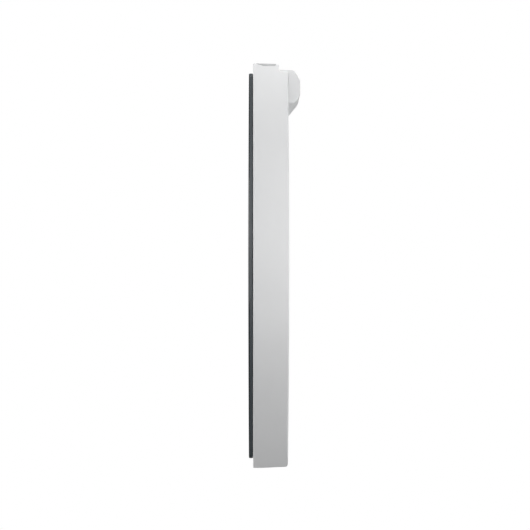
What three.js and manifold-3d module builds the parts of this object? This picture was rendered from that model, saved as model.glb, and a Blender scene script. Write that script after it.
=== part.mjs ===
// Wall battery unit: a white drawn housing with a dark glass front, hung on a wall rail.
// Millimetres. +Z up, the glass faces -Y, the wall is the plane y = WALL_Y.
// Origin: centre of the bounding box in X and Y, at the lowest point in Z.
import * as THREE from 'three';
import { mergeVertices } from 'three/addons/utils/BufferGeometryUtils.js';
import { ConvexGeometry } from 'three/addons/geometries/ConvexGeometry.js';
import Module from 'manifold-3d';

const wasm = await Module();
wasm.setup();

// ---------------------------------------------------------------- driving dimensions
const WIDTH = 750;            // overall, X
const HEIGHT = 1150;          // overall, Z
const FRONT_Y = -60;          // front face of the housing
const WALL_Y = 74;            // wall plane
const REAR_MID_Y = 42.8;      // rear face of the housing at the crest of its crown
const CREST_Z = 557;          // height of the crest
const CROWN_LOW = 1.30e-5;    // parabola of the rear face below the crest, 1/mm
const CROWN_HIGH = 1.02e-5;   // and above it
const WALL_T = 4;             // housing wall
const STEP_Y = 13;            // the top steps down behind this line
const NOTCH_Z = 1129.4;       // floor of the step at its front
const REAR_R = 8;             // rear lower edge
const SIDE_R = 10;            // rear upright edges
const PANEL_X = 348;          // half width of the glass panel
const PANEL_Z0 = 26;
const PANEL_Z1 = 1122.5;
const PANEL_R = 12;           // corner radius of the panel seen from the front
const GLASS_Y = -74;          // crest of the glass
const GLASS_SAG = 1.8;        // crown of the glass at its upper and lower ends
const GAP = 0.3;              // gap left between pieces that touch
const POCKET = { y0: -38, y1: 28, z0: 900, z1: 1060, depth: 22 };   // control pocket, -X side
const GLAND_BAY = { x0: -226, x1: -74, y0: -38, y1: 18, z1: 30 };   // cable entry, underside
const FOOT_X = 250;
const FOOT_Z = 34;
const FOOT_TRAVEL = 35.5;
const STUD_X = 337;
const STUD_Z = [38, 1110];
const FAN_X = [70, 170];
const FAN_Y = -23.5;
const FAN_Z = 1126;
const HOOD_X = 330;           // half width of the hanger hood
const LOCK_X = 240;           // lock screws through its flange

// ---------------------------------------------------------------- helpers
const HALF = WIDTH / 2;

function solid(geometry) {
  let g = geometry.clone();
  for (const name of Object.keys(g.attributes)) if (name !== 'position') g.deleteAttribute(name);
  g = mergeVertices(g, 1e-4);
  const mesh = new wasm.Mesh({
    numProp: 3,
    vertProperties: new Float32Array(g.attributes.position.array),
    triVerts: new Uint32Array(g.index.array),
  });
  return new wasm.Manifold(mesh);
}

function shaped(manifold) {
  const m = manifold.getMesh();
  const g = new THREE.BufferGeometry();
  g.setAttribute('position', new THREE.BufferAttribute(new Float32Array(m.vertProperties), 3));
  g.setIndex(new THREE.BufferAttribute(new Uint32Array(m.triVerts), 1));
  return g;
}

const cut = (a, ...rest) => rest.reduce((s, b) => s.subtract(b), a);
const join = (a, ...rest) => rest.reduce((s, b) => s.add(b), a);

function boxG(x0, x1, y0, y1, z0, z1) {
  return new THREE.BoxGeometry(x1 - x0, y1 - y0, z1 - z0)
    .translate((x0 + x1) / 2, (y0 + y1) / 2, (z0 + z1) / 2);
}
const box = (...a) => solid(boxG(...a));

function outline(points) {
  const s = new THREE.Shape();
  points.forEach(([u, v], i) => (i ? s.lineTo(u, v) : s.moveTo(u, v)));
  s.closePath();
  return s;
}
const AX = new THREE.Matrix4().set(0, 0, 1, 0, 1, 0, 0, 0, 0, 1, 0, 0, 0, 0, 0, 1);
const AY = new THREE.Matrix4().set(1, 0, 0, 0, 0, 0, -1, 0, 0, 1, 0, 0, 0, 0, 0, 1);

// points are (y, z), pushed along X
function prismXG(points, x0, x1) {
  const g = new THREE.ExtrudeGeometry(outline(points), { depth: x1 - x0, bevelEnabled: false, curveSegments: 6 });
  return g.applyMatrix4(AX).translate(x0, 0, 0);
}
// points are (x, z), pushed along Y
function prismYG(points, y0, y1) {
  const g = new THREE.ExtrudeGeometry(outline(points), { depth: y1 - y0, bevelEnabled: false, curveSegments: 6 });
  return g.applyMatrix4(AY).translate(0, y1, 0);
}
// points are (x, y), pushed along Z
function prismZG(points, z0, z1) {
  return new THREE.ExtrudeGeometry(outline(points), { depth: z1 - z0, bevelEnabled: false, curveSegments: 6 })
    .translate(0, 0, z0);
}
const prismX = (...a) => solid(prismXG(...a));
const prismY = (...a) => solid(prismYG(...a));
const prismZ = (...a) => solid(prismZG(...a));

// cylinder along an axis, from a to b on that axis, through (u, v) on the other two in X, Y, Z order
function cylG(axis, r, a, b, u, v, n = 20) {
  const g = new THREE.CylinderGeometry(r, r, b - a, n);
  const mid = (a + b) / 2;
  if (axis === 'x') return g.rotateZ(-Math.PI / 2).translate(mid, u, v);
  if (axis === 'y') return g.translate(u, mid, v);
  return g.rotateX(Math.PI / 2).translate(u, v, mid);
}
const cyl = (...a) => solid(cylG(...a));

// turned shape about the Y axis: points are (radius, along)
function turned(points, n = 20) {
  return new THREE.LatheGeometry(points.map(([r, y]) => new THREE.Vector2(r, y)), n);
}

function roundedRect(u0, u1, v0, v1, r, n = 5) {
  const pts = [];
  const corners = [[u1 - r, v0 + r, -90], [u1 - r, v1 - r, 0], [u0 + r, v1 - r, 90], [u0 + r, v0 + r, 180]];
  for (const [cu, cv, start] of corners) {
    for (let i = 0; i <= n; i++) {
      const a = ((start + (90 * i) / n) * Math.PI) / 180;
      pts.push([cu + r * Math.cos(a), cv + r * Math.sin(a)]);
    }
  }
  return pts;
}

function rearY(z) {
  const d = z - CREST_Z;
  return REAR_MID_Y - (d < 0 ? CROWN_LOW : CROWN_HIGH) * d * d;
}

// ---------------------------------------------------------------- materials
const paint = new THREE.MeshStandardMaterial({ color: 0xdcdddd, roughness: 0.5, metalness: 0.1 });
const paintGrey = new THREE.MeshStandardMaterial({ color: 0xcfd0d0, roughness: 0.5, metalness: 0.1 });
const black = new THREE.MeshStandardMaterial({ color: 0x17191a, roughness: 0.45, metalness: 0.0 });
const glass = new THREE.MeshStandardMaterial({ color: 0x22282b, roughness: 0.08, metalness: 0.0 });
const lensWhite = new THREE.MeshStandardMaterial({ color: 0xe8f4ee, roughness: 0.3, metalness: 0.0 });
const rubber = new THREE.MeshStandardMaterial({ color: 0x1b1b1b, roughness: 0.9, metalness: 0.0 });
const zinc = new THREE.MeshStandardMaterial({ color: 0xa9abad, roughness: 0.35, metalness: 0.9 });
const alloy = new THREE.MeshStandardMaterial({ color: 0xb8babc, roughness: 0.4, metalness: 0.8 });
const copper = new THREE.MeshStandardMaterial({ color: 0xb87348, roughness: 0.35, metalness: 0.9 });
const board = new THREE.MeshStandardMaterial({ color: 0x1f5b3a, roughness: 0.5, metalness: 0.0 });
const greyPlastic = new THREE.MeshStandardMaterial({ color: 0x9a9da0, roughness: 0.55, metalness: 0.0 });
const redPlastic = new THREE.MeshStandardMaterial({ color: 0xb3261e, roughness: 0.4, metalness: 0.0 });
const orange = new THREE.MeshStandardMaterial({ color: 0xd4691e, roughness: 0.55, metalness: 0.0 });

const unit = new THREE.Group();
function node(parent, name, geometry, material) {
  const mesh = new THREE.Mesh(geometry.isBufferGeometry ? geometry : shaped(geometry), material);
  mesh.name = name;
  parent.add(mesh);
  return mesh;
}

// ================================================================ housing
const bodyProfile = [];
bodyProfile.push([FRONT_Y, 0], [-36, 0], [-12, 1.4], [13, 2.4]);
{
  // rear lower edge, a quarter round between the rising underside and the rear face
  const cy = rearY(14) - REAR_R;
  const cz = 3.2 + REAR_R;
  for (let i = 0; i <= 5; i++) {
    const a = ((-90 + 18 * i) * Math.PI) / 180;
    bodyProfile.push([cy + REAR_R * Math.cos(a), cz + REAR_R * Math.sin(a)]);
  }
  for (let z = 60; z < 1120; z += 82) bodyProfile.push([rearY(z), z]);
  bodyProfile.push([rearY(1122), 1122], [rearY(1122) - 1.6, 1125.4], [STEP_Y + 1.5, NOTCH_Z], [STEP_Y, NOTCH_Z + 1.5]);
  bodyProfile.push([STEP_Y, 1144], [STEP_Y - 1, 1146.4], [STEP_Y - 3.4, 1147.6], [FRONT_Y, HEIGHT]);
}
const plan = [
  [-HALF, FRONT_Y - 5], [HALF, FRONT_Y - 5],
];
for (let i = 0; i <= 5; i++) {
  const a = (18 * i * Math.PI) / 180;
  plan.push([HALF - SIDE_R + SIDE_R * Math.cos(a), REAR_MID_Y - SIDE_R + SIDE_R * Math.sin(a)]);
}
for (let i = 5; i >= 0; i--) {
  const a = (18 * i * Math.PI) / 180;
  plan.push([-(HALF - SIDE_R + SIDE_R * Math.cos(a)), REAR_MID_Y - SIDE_R + SIDE_R * Math.sin(a)]);
}
const CHANNEL = [[-52.0, 1156], [-52.0, 1148.3], [-34.3, 1144.2], [5.0, 1143.8], [5.0, 1156]];
const outer = prismX(bodyProfile, -HALF, HALF).intersect(prismZ(plan, -5, HEIGHT + 5));

const cavityProfile = [[-51, 5], [20, 7.2], [rearY(20) - WALL_T - 4, 9], [rearY(30) - WALL_T, 16]];
for (let z = 142; z < 1100; z += 164) cavityProfile.push([rearY(z) - WALL_T, z]);
cavityProfile.push([rearY(1121) - WALL_T, 1121], [STEP_Y - WALL_T, 1124], [STEP_Y - WALL_T, 1141.4], [-51, 1141.4]);
let cavity = prismX(cavityProfile, -HALF + WALL_T, HALF - WALL_T);
// material kept round the control pocket, the cable bay and the two foot bores
cavity = cut(cavity,
  box(-HALF - 1, -HALF + POCKET.depth + 3, POCKET.y0 - 4, POCKET.y1 + 4, POCKET.z0 - 4, POCKET.z1 + 4),
  box(GLAND_BAY.x0 - 4, GLAND_BAY.x1 + 4, GLAND_BAY.y0 - 4, GLAND_BAY.y1 + 4, -1, GLAND_BAY.z1 + 4),
  cyl('y', 18, 0, 60, -FOOT_X, FOOT_Z, 20), cyl('y', 18, 0, 60, FOOT_X, FOOT_Z, 20));
let housing = cut(outer, cavity,
  box(-330, 330, FRONT_Y - 2, -50, 46, 1104),                                  // front opening
  box(-344.5, 344.5, FRONT_Y - 2, -55, 30, 1118.5),                            // rebate for the cover
  prismX(CHANNEL, -HALF - 5, HALF + 5),                                        // channel for the top grille
  box(-205, 205, -49, 2, 1138, 1148),                                          // air outlet under the grille
  box(-HALF - 5, -HALF + POCKET.depth, POCKET.y0, POCKET.y1, POCKET.z0, POCKET.z1),
  box(GLAND_BAY.x0, GLAND_BAY.x1, GLAND_BAY.y0, GLAND_BAY.y1, -5, GLAND_BAY.z1),
  box(-216, -84, -28, 8, 20, 40));
for (const s of [-1, 1]) {
  housing = cut(housing, cyl('y', 9.5, -10, 60, s * FOOT_X, FOOT_Z, 20), cyl('y', 14, 31.7, 60, s * FOOT_X, FOOT_Z, 24));
  for (const z of STUD_Z) housing = cut(housing, cyl('y', 2.6, -62, -48, s * STUD_X, z, 12));
  housing = cut(housing, cyl('z', 3.4, 1118, 1135, s * LOCK_X, 28, 14));          // lock screw
  housing = cut(housing, cyl('z', 2.6, 1135, 1150, s * 340, -23.5, 12));       // grille screw
}
housing = cut(housing,
  cyl('x', 5.4, -360, -345, -5, 1015, 16),                                     // isolator shaft
  cyl('x', 10.2, -360, -345, -5, 940, 20));                                    // power button
node(unit, 'housing', housing, paint);

// ================================================================ sealed cover under the glass
const coverSheet = prismY(roundedRect(-344, 344, 30.5, 1118, 6, 3), -59, -57);
const gasketRing = cut(prismY(roundedRect(-344, 344, 30.5, 1118, 6, 3), -56.7, -55.3),
  box(-331, 331, -60, -50, 45, 1105));
let cover = coverSheet, gasket = gasketRing;
for (const s of [-1, 1]) for (const z of STUD_Z) {
  cover = cut(cover, cyl('y', 2.8, -62, -48, s * STUD_X, z, 12));
  gasket = cut(gasket, cyl('y', 2.8, -62, -48, s * STUD_X, z, 12));
}
// three pressed ribs stiffen the sheet
for (const z of [300, 575, 850]) {
  cover = join(cover, prismX([[-59.2, z - 24], [-62.5, z - 20], [-62.5, z + 20], [-59.2, z + 24], [-58, z + 24], [-58, z - 24]], -290, 290));
}
node(unit, 'front_cover', cover, alloy);
node(unit, 'cover_gasket', gasket, rubber);

// ball studs: they clamp the cover and carry the glass panel
const studG = turned([[0, 11], [2.2, 11], [2.2, -1.7], [4.6, -1.7], [4.6, -2.9], [2.0, -2.9], [2.0, -4.2],
  [3.3, -5.0], [3.5, -6.4], [2.7, -8.2], [0, -9.2]].reverse(), 12);
let k = 0;
for (const z of STUD_Z) for (const s of [-1, 1]) {
  const m = node(unit, `ball_stud_${++k}`, studG, zinc);
  m.position.set(s * STUD_X, -57.5, z);
}

// ================================================================ glass panel
const panel = new THREE.Group();
unit.add(panel);
const panelRing = roundedRect(-PANEL_X, PANEL_X, PANEL_Z0, PANEL_Z1, PANEL_R, 5);
// the carrier's outline, drawn in by 2.2 mm at its back edge
const carrierRings = [[-70, 0], [-62.4, 0], [-60.9, 1.0], [-60.4, 2.2]].flatMap(([y, inset]) =>
  roundedRect(-PANEL_X + inset, PANEL_X - inset, PANEL_Z0 + inset, PANEL_Z1 - inset, PANEL_R - inset, 5).map(([x, z]) => new THREE.Vector3(x, y, z)));
let carrier = cut(solid(new ConvexGeometry(carrierRings)),
  prismY(roundedRect(-PANEL_X + 5.5, PANEL_X - 5.5, PANEL_Z0 + 5.5, PANEL_Z1 - 5.5, PANEL_R - 5.5, 3), -67, -59));
for (const s of [-1, 1]) for (const z of STUD_Z) {
  carrier = join(carrier, cyl('y', 7.4, -67.5, -61.4, s * STUD_X, z, 16));
  carrier = cut(carrier, cyl('y', 4.4, -67, -60, s * STUD_X, z, 16));
}
carrier = cut(carrier, box(-64, 64, -72, -66, 105, 119));       // window for the light
node(panel, 'glass_carrier', carrier, black);

const glassProfile = [[-70.3, PANEL_Z0], [-70.3, PANEL_Z1]];
const zc = (PANEL_Z0 + PANEL_Z1) / 2, hz = (PANEL_Z1 - PANEL_Z0) / 2;
const glassY = (z) => GLASS_Y + GLASS_SAG * ((z - zc) / hz) ** 2;
glassProfile.push([-71, PANEL_Z1 - 0.2], [-71.8, PANEL_Z1 - 1.2], [-72.25, PANEL_Z1 - 3]);
for (let i = 5; i >= -5; i--) glassProfile.push([glassY(zc + (i * hz) / 5.6), zc + (i * hz) / 5.6]);
glassProfile.push([-72.25, PANEL_Z0 + 3], [-71.8, PANEL_Z0 + 1.2], [-71, PANEL_Z0 + 0.2]);
const pane = cut(prismX(glassProfile.reverse(), -PANEL_X - 2, PANEL_X + 2).intersect(prismY(panelRing, -76, -66)),
  box(-60.5, 60.5, -80, -60, 109.5, 114.5));
node(panel, 'front_glass', pane, glass);
node(panel, 'status_lens', join(box(-60, 60, -72.6, -69.5, 110, 114), box(-63, 63, -69.9, -67.6, 106, 118)), lensWhite);
node(panel, 'led_board', boxG(-66, 66, -66.6, -65, 101, 123), board);

// ================================================================ top grille
let grille = prismX([[-51.6, 1149.4], [-51.6, 1148.6], [-34.2, 1144.6], [4.6, 1144.2], [4.6, 1147.9]], -HALF, HALF);
for (let i = -13; i <= 13; i++) grille = cut(grille, box(i * 14 - 3, i * 14 + 3, -44, -3, 1140, 1155));
for (const s of [-1, 1]) grille = cut(grille, cyl('z', 2.9, 1140, 1155, s * 340, -23.5, 12), cyl('z', 5.6, 1146.6, 1155, s * 340, -23.5, 16));
node(unit, 'top_grille', grille, paintGrey);
const grilleScrewG = turned([[0, -9], [2.2, -9], [2.2, 0.9], [4.9, 0.9], [4.9, 1.9], [3.6, 2.4], [0, 2.4]], 14).rotateX(Math.PI / 2);
for (const [side, s] of [['left', -1], ['right', 1]]) {
  const m = node(unit, `grille_screw_${side}`, grilleScrewG, zinc);
  m.position.set(s * 340, -23.5, 1146);
}

// ================================================================ cable entry
let glandPlate = box(-222, -78, -34, 14, 26.8, 29.6);
const glandX = [-185, -115];
for (const x of glandX) glandPlate = cut(glandPlate, cyl('z', 12.4, 20, 35, x, -10, 24));
node(unit, 'gland_plate', glandPlate, zinc);
// gland: thread, hex, clamping dome, with its cable bore
const glandG = (() => {
  const hex = solid(new THREE.CylinderGeometry(16, 16, 8, 6).rotateX(Math.PI / 2).translate(0, 0, 22.2));
  const thread = cyl('z', 12, 20, 42, 0, 0, 16);
  const dome = solid(turned([[0, 4], [9, 4], [13, 9], [13.5, 19], [0, 19]], 20).rotateX(Math.PI / 2));
  const nut = solid(new THREE.CylinderGeometry(16, 16, 5, 6).rotateX(Math.PI / 2).translate(0, 0, 36.6));
  return shaped(cut(join(thread, hex, dome, nut), cyl('z', 7, -5, 60, 0, 0, 16)));
})();
glandX.forEach((x, i) => node(unit, `cable_gland_${i + 1}`, glandG, black).position.set(x, -10, 0));

// ================================================================ controls in the side pocket
const px = -HALF + POCKET.depth;      // pocket floor
let controlPlate = box(px - 2.3, px - GAP, POCKET.y0 + 1, POCKET.y1 - 1, POCKET.z0 + 1, POCKET.z1 - 1);
controlPlate = cut(controlPlate, cyl('x', 5.6, -365, -345, -5, 1015, 16), cyl('x', 10.3, -365, -345, -5, 940, 20));
node(unit, 'control_plate', controlPlate, black);

// isolator: body behind the pocket floor, knob and shaft in front
const isoBody = cut(box(-349.4, -310, -33, 23, 987, 1043), cyl('x', 5.5, -355, -334, -5, 1015, 16));
node(unit, 'isolator_body', isoBody, greyPlastic);
const knobG = (() => {
  const dial = solid(turned([[0, 0], [20, 0], [19, -5], [0, -5]].reverse(), 28).rotateZ(-Math.PI / 2));
  const grip = prismZG(roundedRect(-4.5, 4.5, -17, 17, 4, 3), 0, 9).rotateY(-Math.PI / 2);
  const shaft = cyl('x', 5, 0, 20, 0, 0, 16);
  return shaped(join(dial, solid(grip.translate(-4.4, 0, 0)), shaft));
})();
node(unit, 'isolator_knob', knobG, redPlastic).position.set(px - 3, -5, 1015);

const bezel = cut(cyl('x', 14, px - 6.5, px - 2.6, -5, 940, 28), cyl('x', 10.4, -370, -340, -5, 940, 24));
node(unit, 'button_bezel', bezel, zinc);
const buttonG = turned([[0, -1], [7.6, -1], [9, 0], [9, 16], [0, 16]], 24).rotateZ(-Math.PI / 2);
node(unit, 'power_button', buttonG, greyPlastic).position.set(px - 9, -5, 940);

// ================================================================ feet that screw out to the wall
const footG = (() => {
  const shank = solid(turned([[0, -20], [7.6, -20], [8.8, -18.5], [8.8, 32.2], [0, 32.2]], 20));
  const flange = cyl('y', 12.6, 32.2, 33.8, 0, 0, 24);
  return shaped(join(shank, flange));
})();
const padG = turned([[0, 34.1], [12.8, 34.1], [13.2, 36.2], [12.2, 38.4], [0, 38.4]], 24);
for (const [side, s] of [['left', -1], ['right', 1]]) {
  const foot = new THREE.Group();
  foot.position.set(s * FOOT_X, 0, FOOT_Z);
  unit.add(foot);
  node(foot, `foot_screw_${side}`, footG, zinc);
  node(foot, `foot_pad_${side}`, padG, rubber);
}

// ================================================================ hanger hood and wall rail
const rearGap = 0.4;
const hoodTop = (y) => 1133 - (y - 16) / 27;
const hoodOuter = [
  [STEP_Y + 3, hoodTop(16)], [STEP_Y + 3, NOTCH_Z + 0.35], [rearY(1122) - 0.6, 1126.1], [rearY(1122) + rearGap + 0.2, 1123.5],
  [rearY(1060) + rearGap, 1060], [rearY(1017.5) + rearGap, 1017.5],
  [48.8, 1028], [53.6, 1034.3], [58.7, 1040.5], [63.85, 1046.3], [68.4, 1052.3], [71.3, 1057.5], [73.2, 1061.5],
  [73.8, 1064.5], [73.8, 1101.5], [72.1, 1105.3], [69.3, 1110.7], [66.4, 1115.4], [63.6, 1120.7], [60.7, 1125.2], [57.9, 1128], [54.5, 1130.2], [50, 1131.3], [43, hoodTop(43)],
];
const hoodInner = [
  [48.5, 1121.5], [48.5, 1033.5], [53, 1039.5], [58, 1045.4], [63, 1051.4], [67, 1057.5], [69.3, 1063.5], [76, 1065.5], [76, 1102.5],
  [70, 1102.5], [65, 1110], [60.5, 1117.5], [57, 1121.5],
];
const hood = (() => {
  let h = prismX(hoodOuter.slice().reverse(), -HOOD_X, HOOD_X);
  const taper = (s, inset) => prismY([[s * (HOOD_X + 3 - inset), 1043], [s * (HOOD_X + 3 - inset), 985], [s * (HOOD_X - 50 - inset), 985]].slice()[s < 0 ? 'slice' : 'reverse'](), 30, 90);
  let hollow = prismX(hoodInner, -HOOD_X + 8, HOOD_X - 8);
  for (const s of [-1, 1]) {
    hollow = cut(hollow, taper(s, 9));
    h = cut(h, taper(s, 0));
  }
  h = cut(h, hollow);
  for (const s of [-1, 1]) {
    h = cut(h, cyl('z', 3.6, 1120, 1140, s * LOCK_X, 28, 14),
      solid(turned([[0, -4], [2.6, -4], [6.6, 0], [6.6, 4], [0, 4]], 16).rotateX(Math.PI / 2).translate(s * LOCK_X, 28, hoodTop(28) + 0.1)));
  }
  // ends of the hood are chamfered where it meets the housing
  for (const s of [-1, 1]) {
    h = cut(h, prismZ([[s * (HOOD_X - 3), 80], [s * (HOOD_X + 2), 80], [s * (HOOD_X + 2), 69], [s * HOOD_X, 70.5]].slice()[s < 0 ? 'reverse' : 'slice'](), 990, 1140));
  }
  return h;
})();
node(unit, 'hanger_hood', hood, paintGrey);

const lockScrewG = turned([[0, -17], [2.8, -17], [2.8, -3.4], [5.9, -0.3], [5.9, 0], [0, 0]], 16).rotateX(Math.PI / 2);
for (const [side, s] of [['left', -1], ['right', 1]]) {
  node(unit, `lock_screw_${side}`, lockScrewG, zinc).position.set(s * LOCK_X, 28, hoodTop(28) - 0.2);
}

// hook bar under the roof of the hood, and the rail that stays on the wall
const hook = prismX([[49, 1121], [49, 1117.6], [59.6, 1117.6], [62.2, 1112.5], [62.2, 1093], [65, 1093], [65, 1109], [60, 1117.4], [57.2, 1121]].reverse(), -300, 300);
node(unit, 'hanger_hook', hook, zinc);
let rail = prismX([[WALL_Y, 1068], [WALL_Y, 1100], [71, 1100], [71, 1080], [60.6, 1091.5], [60.6, 1099], [57.6, 1099],
  [57.6, 1090.3], [69.6, 1077], [71, 1075.4], [71, 1068]].reverse(), -315, 315);
for (const x of [-203, -60, 60, 203]) rail = cut(rail, cyl('y', 4.5, 69, 76, x, 1090, 16));
node(unit, 'wall_rail', rail, zinc);

// ================================================================ battery bay
const MOD = { w: 336, d: 72, h: 336, y0: -45 };
const moduleG = (() => {
  const core = prismZ(roundedRect(-MOD.w / 2, MOD.w / 2, 0, MOD.d, 6, 2), 0, MOD.h);
  let m = core;
  for (let i = 0; i < 5; i++) m = cut(m, box(-140, 140, -1, 2.5, 40 + i * 52, 66 + i * 52));
  for (const s of [-1, 1]) m = join(m, cyl('y', 8, -3, 3, s * 140, MOD.h - 24, 16));
  return shaped(m);
})();
const modules = [[-180, 60], [180, 60], [-180, 420], [180, 420]];
modules.forEach(([x, z], i) => node(unit, `battery_module_${i + 1}`, moduleG, alloy).position.set(x, MOD.y0, z));
// clamp rails hold the modules to the rear wall
const clampG = () => prismXG([[0, 0], [0, 4], [-3.4, 8], [-3.4, 22], [0, 26], [0, 30], [-2, 30], [-5.4, 23], [-5.4, 7], [-2, 0]], -362, 362);
node(unit, 'clamp_rail_lower', clampG(), zinc).position.set(0, -45.4, 394);
node(unit, 'clamp_rail_upper', clampG(), zinc).position.set(0, -45.4, 757);
// series links between the module terminals
node(unit, 'busbar_link_lower', boxG(-50, 50, -51.4, -48.4, 361, 383), copper);
node(unit, 'busbar_link_upper', boxG(-50, 50, -51.4, -48.4, 721, 743), copper);
node(unit, 'busbar_link_side', prismXG([[-48.4, 361], [-48.4, 383], [-53, 390], [-53, 728], [-48.4, 730], [-48.4, 743], [-51.4, 743], [-51.4, 732], [-55.4, 729], [-55.4, 388], [-51.4, 382], [-51.4, 361]].reverse(), 311, 329), copper);

// ================================================================ electronics bay
node(unit, 'bulkhead', cut(box(-369, 369, -50, 34, 790, 792), box(-30, 30, -55, -20, 780, 800)), alloy);

const sinkG = (() => {
  let s = box(-40, 240, 14, 20, 830, 1080);
  for (let i = 0; i < 14; i++) s = join(s, box(-36 + i * 20.6, -32.5 + i * 20.6, 19, 33, 830, 1080));
  return s;
})();
node(unit, 'heatsink', sinkG, alloy);
node(unit, 'power_board', cut(box(-50, 250, -6, -4.4, 810, 1090), cyl('y', 2.2, -10, 0, -42, 818, 10), cyl('y', 2.2, -10, 0, 242, 1082, 10)), board);
const canG = turned([[0, 0], [17, 0], [17.5, 1], [17.5, 34], [16.6, 35], [0, 35]].map(([r, y]) => [r, -y]).reverse(), 18);
node(unit, 'capacitor_1', canG, black).position.set(30, -6.3, 880);
node(unit, 'capacitor_2', canG, black).position.set(30, -6.3, 930);
const toroid = new THREE.TorusGeometry(24, 11, 8, 16).rotateX(Math.PI / 2);
node(unit, 'filter_choke', toroid, copper).position.set(150, -18, 920);
node(unit, 'comms_board', boxG(270, 355, -6, -4.4, 960, 1090), board);
let terminal = box(268, 352, -40, -8, 822, 866);
for (let i = 0; i < 5; i++) terminal = cut(terminal, cyl('y', 4.2, -45, -22, 276 + i * 17, 850, 12), box(270.5 + i * 17, 281.5 + i * 17, -45, -24, 826, 838));
node(unit, 'terminal_block', terminal, greyPlastic);
node(unit, 'bms_board', boxG(-340, -250, -6, -4.4, 812, 880), board);

// contactor with its moving core
node(unit, 'contactor_body', cut(box(-232, -172, -38, 26, 812, 876), cyl('y', 8.4, -45, -14, -202, 844, 20)), black);
node(unit, 'contactor_core', turned([[0, 0], [6.6, 0], [8, 1.4], [8, 20], [0, 20]], 20), greyPlastic).position.set(-202, -41, 844);

// main fuse
const fuseG = (() => {
  const tube = cyl('z', 13, 0, 46, 0, 0, 20);
  const tabs = join(box(-9, 9, -1.5, 1.5, -20, 66));
  return shaped(join(tube, tabs));
})();
node(unit, 'main_fuse', fuseG, greyPlastic).position.set(-140, -20, 826);

// breaker and its lever, which turns on an axis along X
const BRK = { x0: -180, x1: -108, y: -36, z: 1000 };
let breaker = prismX([[26, 952], [26, 1048], [-14, 1048], [-14, 1032], [-38, 1026], [-38, 974], [-14, 968], [-14, 952]], BRK.x0, BRK.x1);
breaker = cut(breaker, cyl('x', 13, BRK.x0 + 8, BRK.x1 - 8, BRK.y + 2, BRK.z, 24));
node(unit, 'breaker_body', breaker, greyPlastic);
const leverG = (() => {
  const drum = cyl('x', 9, -26, 26, 0, 0, 20);
  const tab = box(-20, 20, -18, -5, -2.6, 2.6);
  return shaped(join(drum, tab)).rotateX((-35 * Math.PI) / 180);
})();
node(unit, 'breaker_lever', leverG, black).position.set((BRK.x0 + BRK.x1) / 2, BRK.y + 2, BRK.z);

// power cables from the upper modules through the bulkhead notch
function cable(points, r) {
  const path = new THREE.CatmullRomCurve3(points.map((p) => new THREE.Vector3(...p)), false, 'catmullrom', 0.3);
  const ring = new THREE.Shape();
  for (let i = 0; i < 8; i++) {
    const a = (i * Math.PI) / 4;
    if (i === 0) ring.moveTo(r * Math.cos(a), r * Math.sin(a)); else ring.lineTo(r * Math.cos(a), r * Math.sin(a));
  }
  ring.closePath();
  return new THREE.ExtrudeGeometry(ring, { steps: 16, extrudePath: path, bevelEnabled: false });
}
node(unit, 'cable_positive', cable([[-14, -33, 770], [-14, -34, 785], [-14, -35, 805], [-60, -38, 812], [-90, -34, 806], [-118, -26, 808]], 4.5), orange);
node(unit, 'cable_negative', cable([[14, -33, 770], [14, -34, 785], [14, -35, 802], [60, -36, 808], [150, -36, 806], [250, -30, 808]], 4.5), black);

// ================================================================ fans under the grille
const frameG = (() => {
  let f = cut(prismZ(roundedRect(-25, 25, -25, 25, 4, 2), 0, 15), cyl('z', 23.6, -2, 20, 0, 0, 24));
  f = join(f, cyl('z', 10, 0, 2, 0, 0, 16));
  for (let i = 0; i < 3; i++) f = join(f, solid(boxG(8, 24.2, -1.6, 1.6, 0, 2).rotateZ((i * 2 * Math.PI) / 3)));
  return shaped(f);
})();
const rotorG = (() => {
  let r = cyl('z', 10.5, 2.6, 13, 0, 0, 16);
  for (let i = 0; i < 7; i++) {
    const blade = boxG(9, 22.4, -0.7, 0.7, -5.6, 5.6).rotateX(0.75).translate(0, 0, 8).rotateZ((i * 2 * Math.PI) / 7);
    r = join(r, solid(blade));
  }
  return shaped(r);
})();
[['left', FAN_X[0]], ['right', FAN_X[1]]].forEach(([side, x]) => {
  const fan = new THREE.Group();
  fan.position.set(x, FAN_Y, FAN_Z);
  unit.add(fan);
  node(fan, `fan_frame_${side}`, frameG, black);
  node(fan, `fan_rotor_${side}`, rotorG, black);
});

export default unit;
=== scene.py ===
"""A home battery cabinet with a crowned glass front, hung from a wall rail.

X runs across the width, centred on 0. Y runs from the front (negative) to the wall side
(positive). Z is up from the underside at 0. Shapes are given in mm and built in metres;
lights and camera are in metres. "Left" is -X, as seen from the front.
"""
import bmesh
import bpy
import math
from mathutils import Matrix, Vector


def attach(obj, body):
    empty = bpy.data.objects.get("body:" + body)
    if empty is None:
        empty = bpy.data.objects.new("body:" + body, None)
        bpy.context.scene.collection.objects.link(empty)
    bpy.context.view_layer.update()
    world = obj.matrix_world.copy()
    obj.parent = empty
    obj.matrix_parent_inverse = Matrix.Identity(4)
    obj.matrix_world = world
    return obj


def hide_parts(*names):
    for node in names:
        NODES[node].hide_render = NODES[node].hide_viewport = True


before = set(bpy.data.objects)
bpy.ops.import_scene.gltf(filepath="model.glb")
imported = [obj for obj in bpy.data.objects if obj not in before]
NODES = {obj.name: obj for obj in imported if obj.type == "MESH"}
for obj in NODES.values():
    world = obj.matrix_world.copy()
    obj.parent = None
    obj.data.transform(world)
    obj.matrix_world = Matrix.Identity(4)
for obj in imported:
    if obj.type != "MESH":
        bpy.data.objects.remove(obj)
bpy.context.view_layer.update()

MM = 0.001
scene = bpy.context.scene
COL = scene.collection

# ---------------------------------------------------------------- sizes shared by several pieces
HALF = 375.0                # half the width
FRONT_Y = -60.0
HEIGHT = 1150.0
WALL = 4
SIDES = (("left", -1), ("right", 1))

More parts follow.
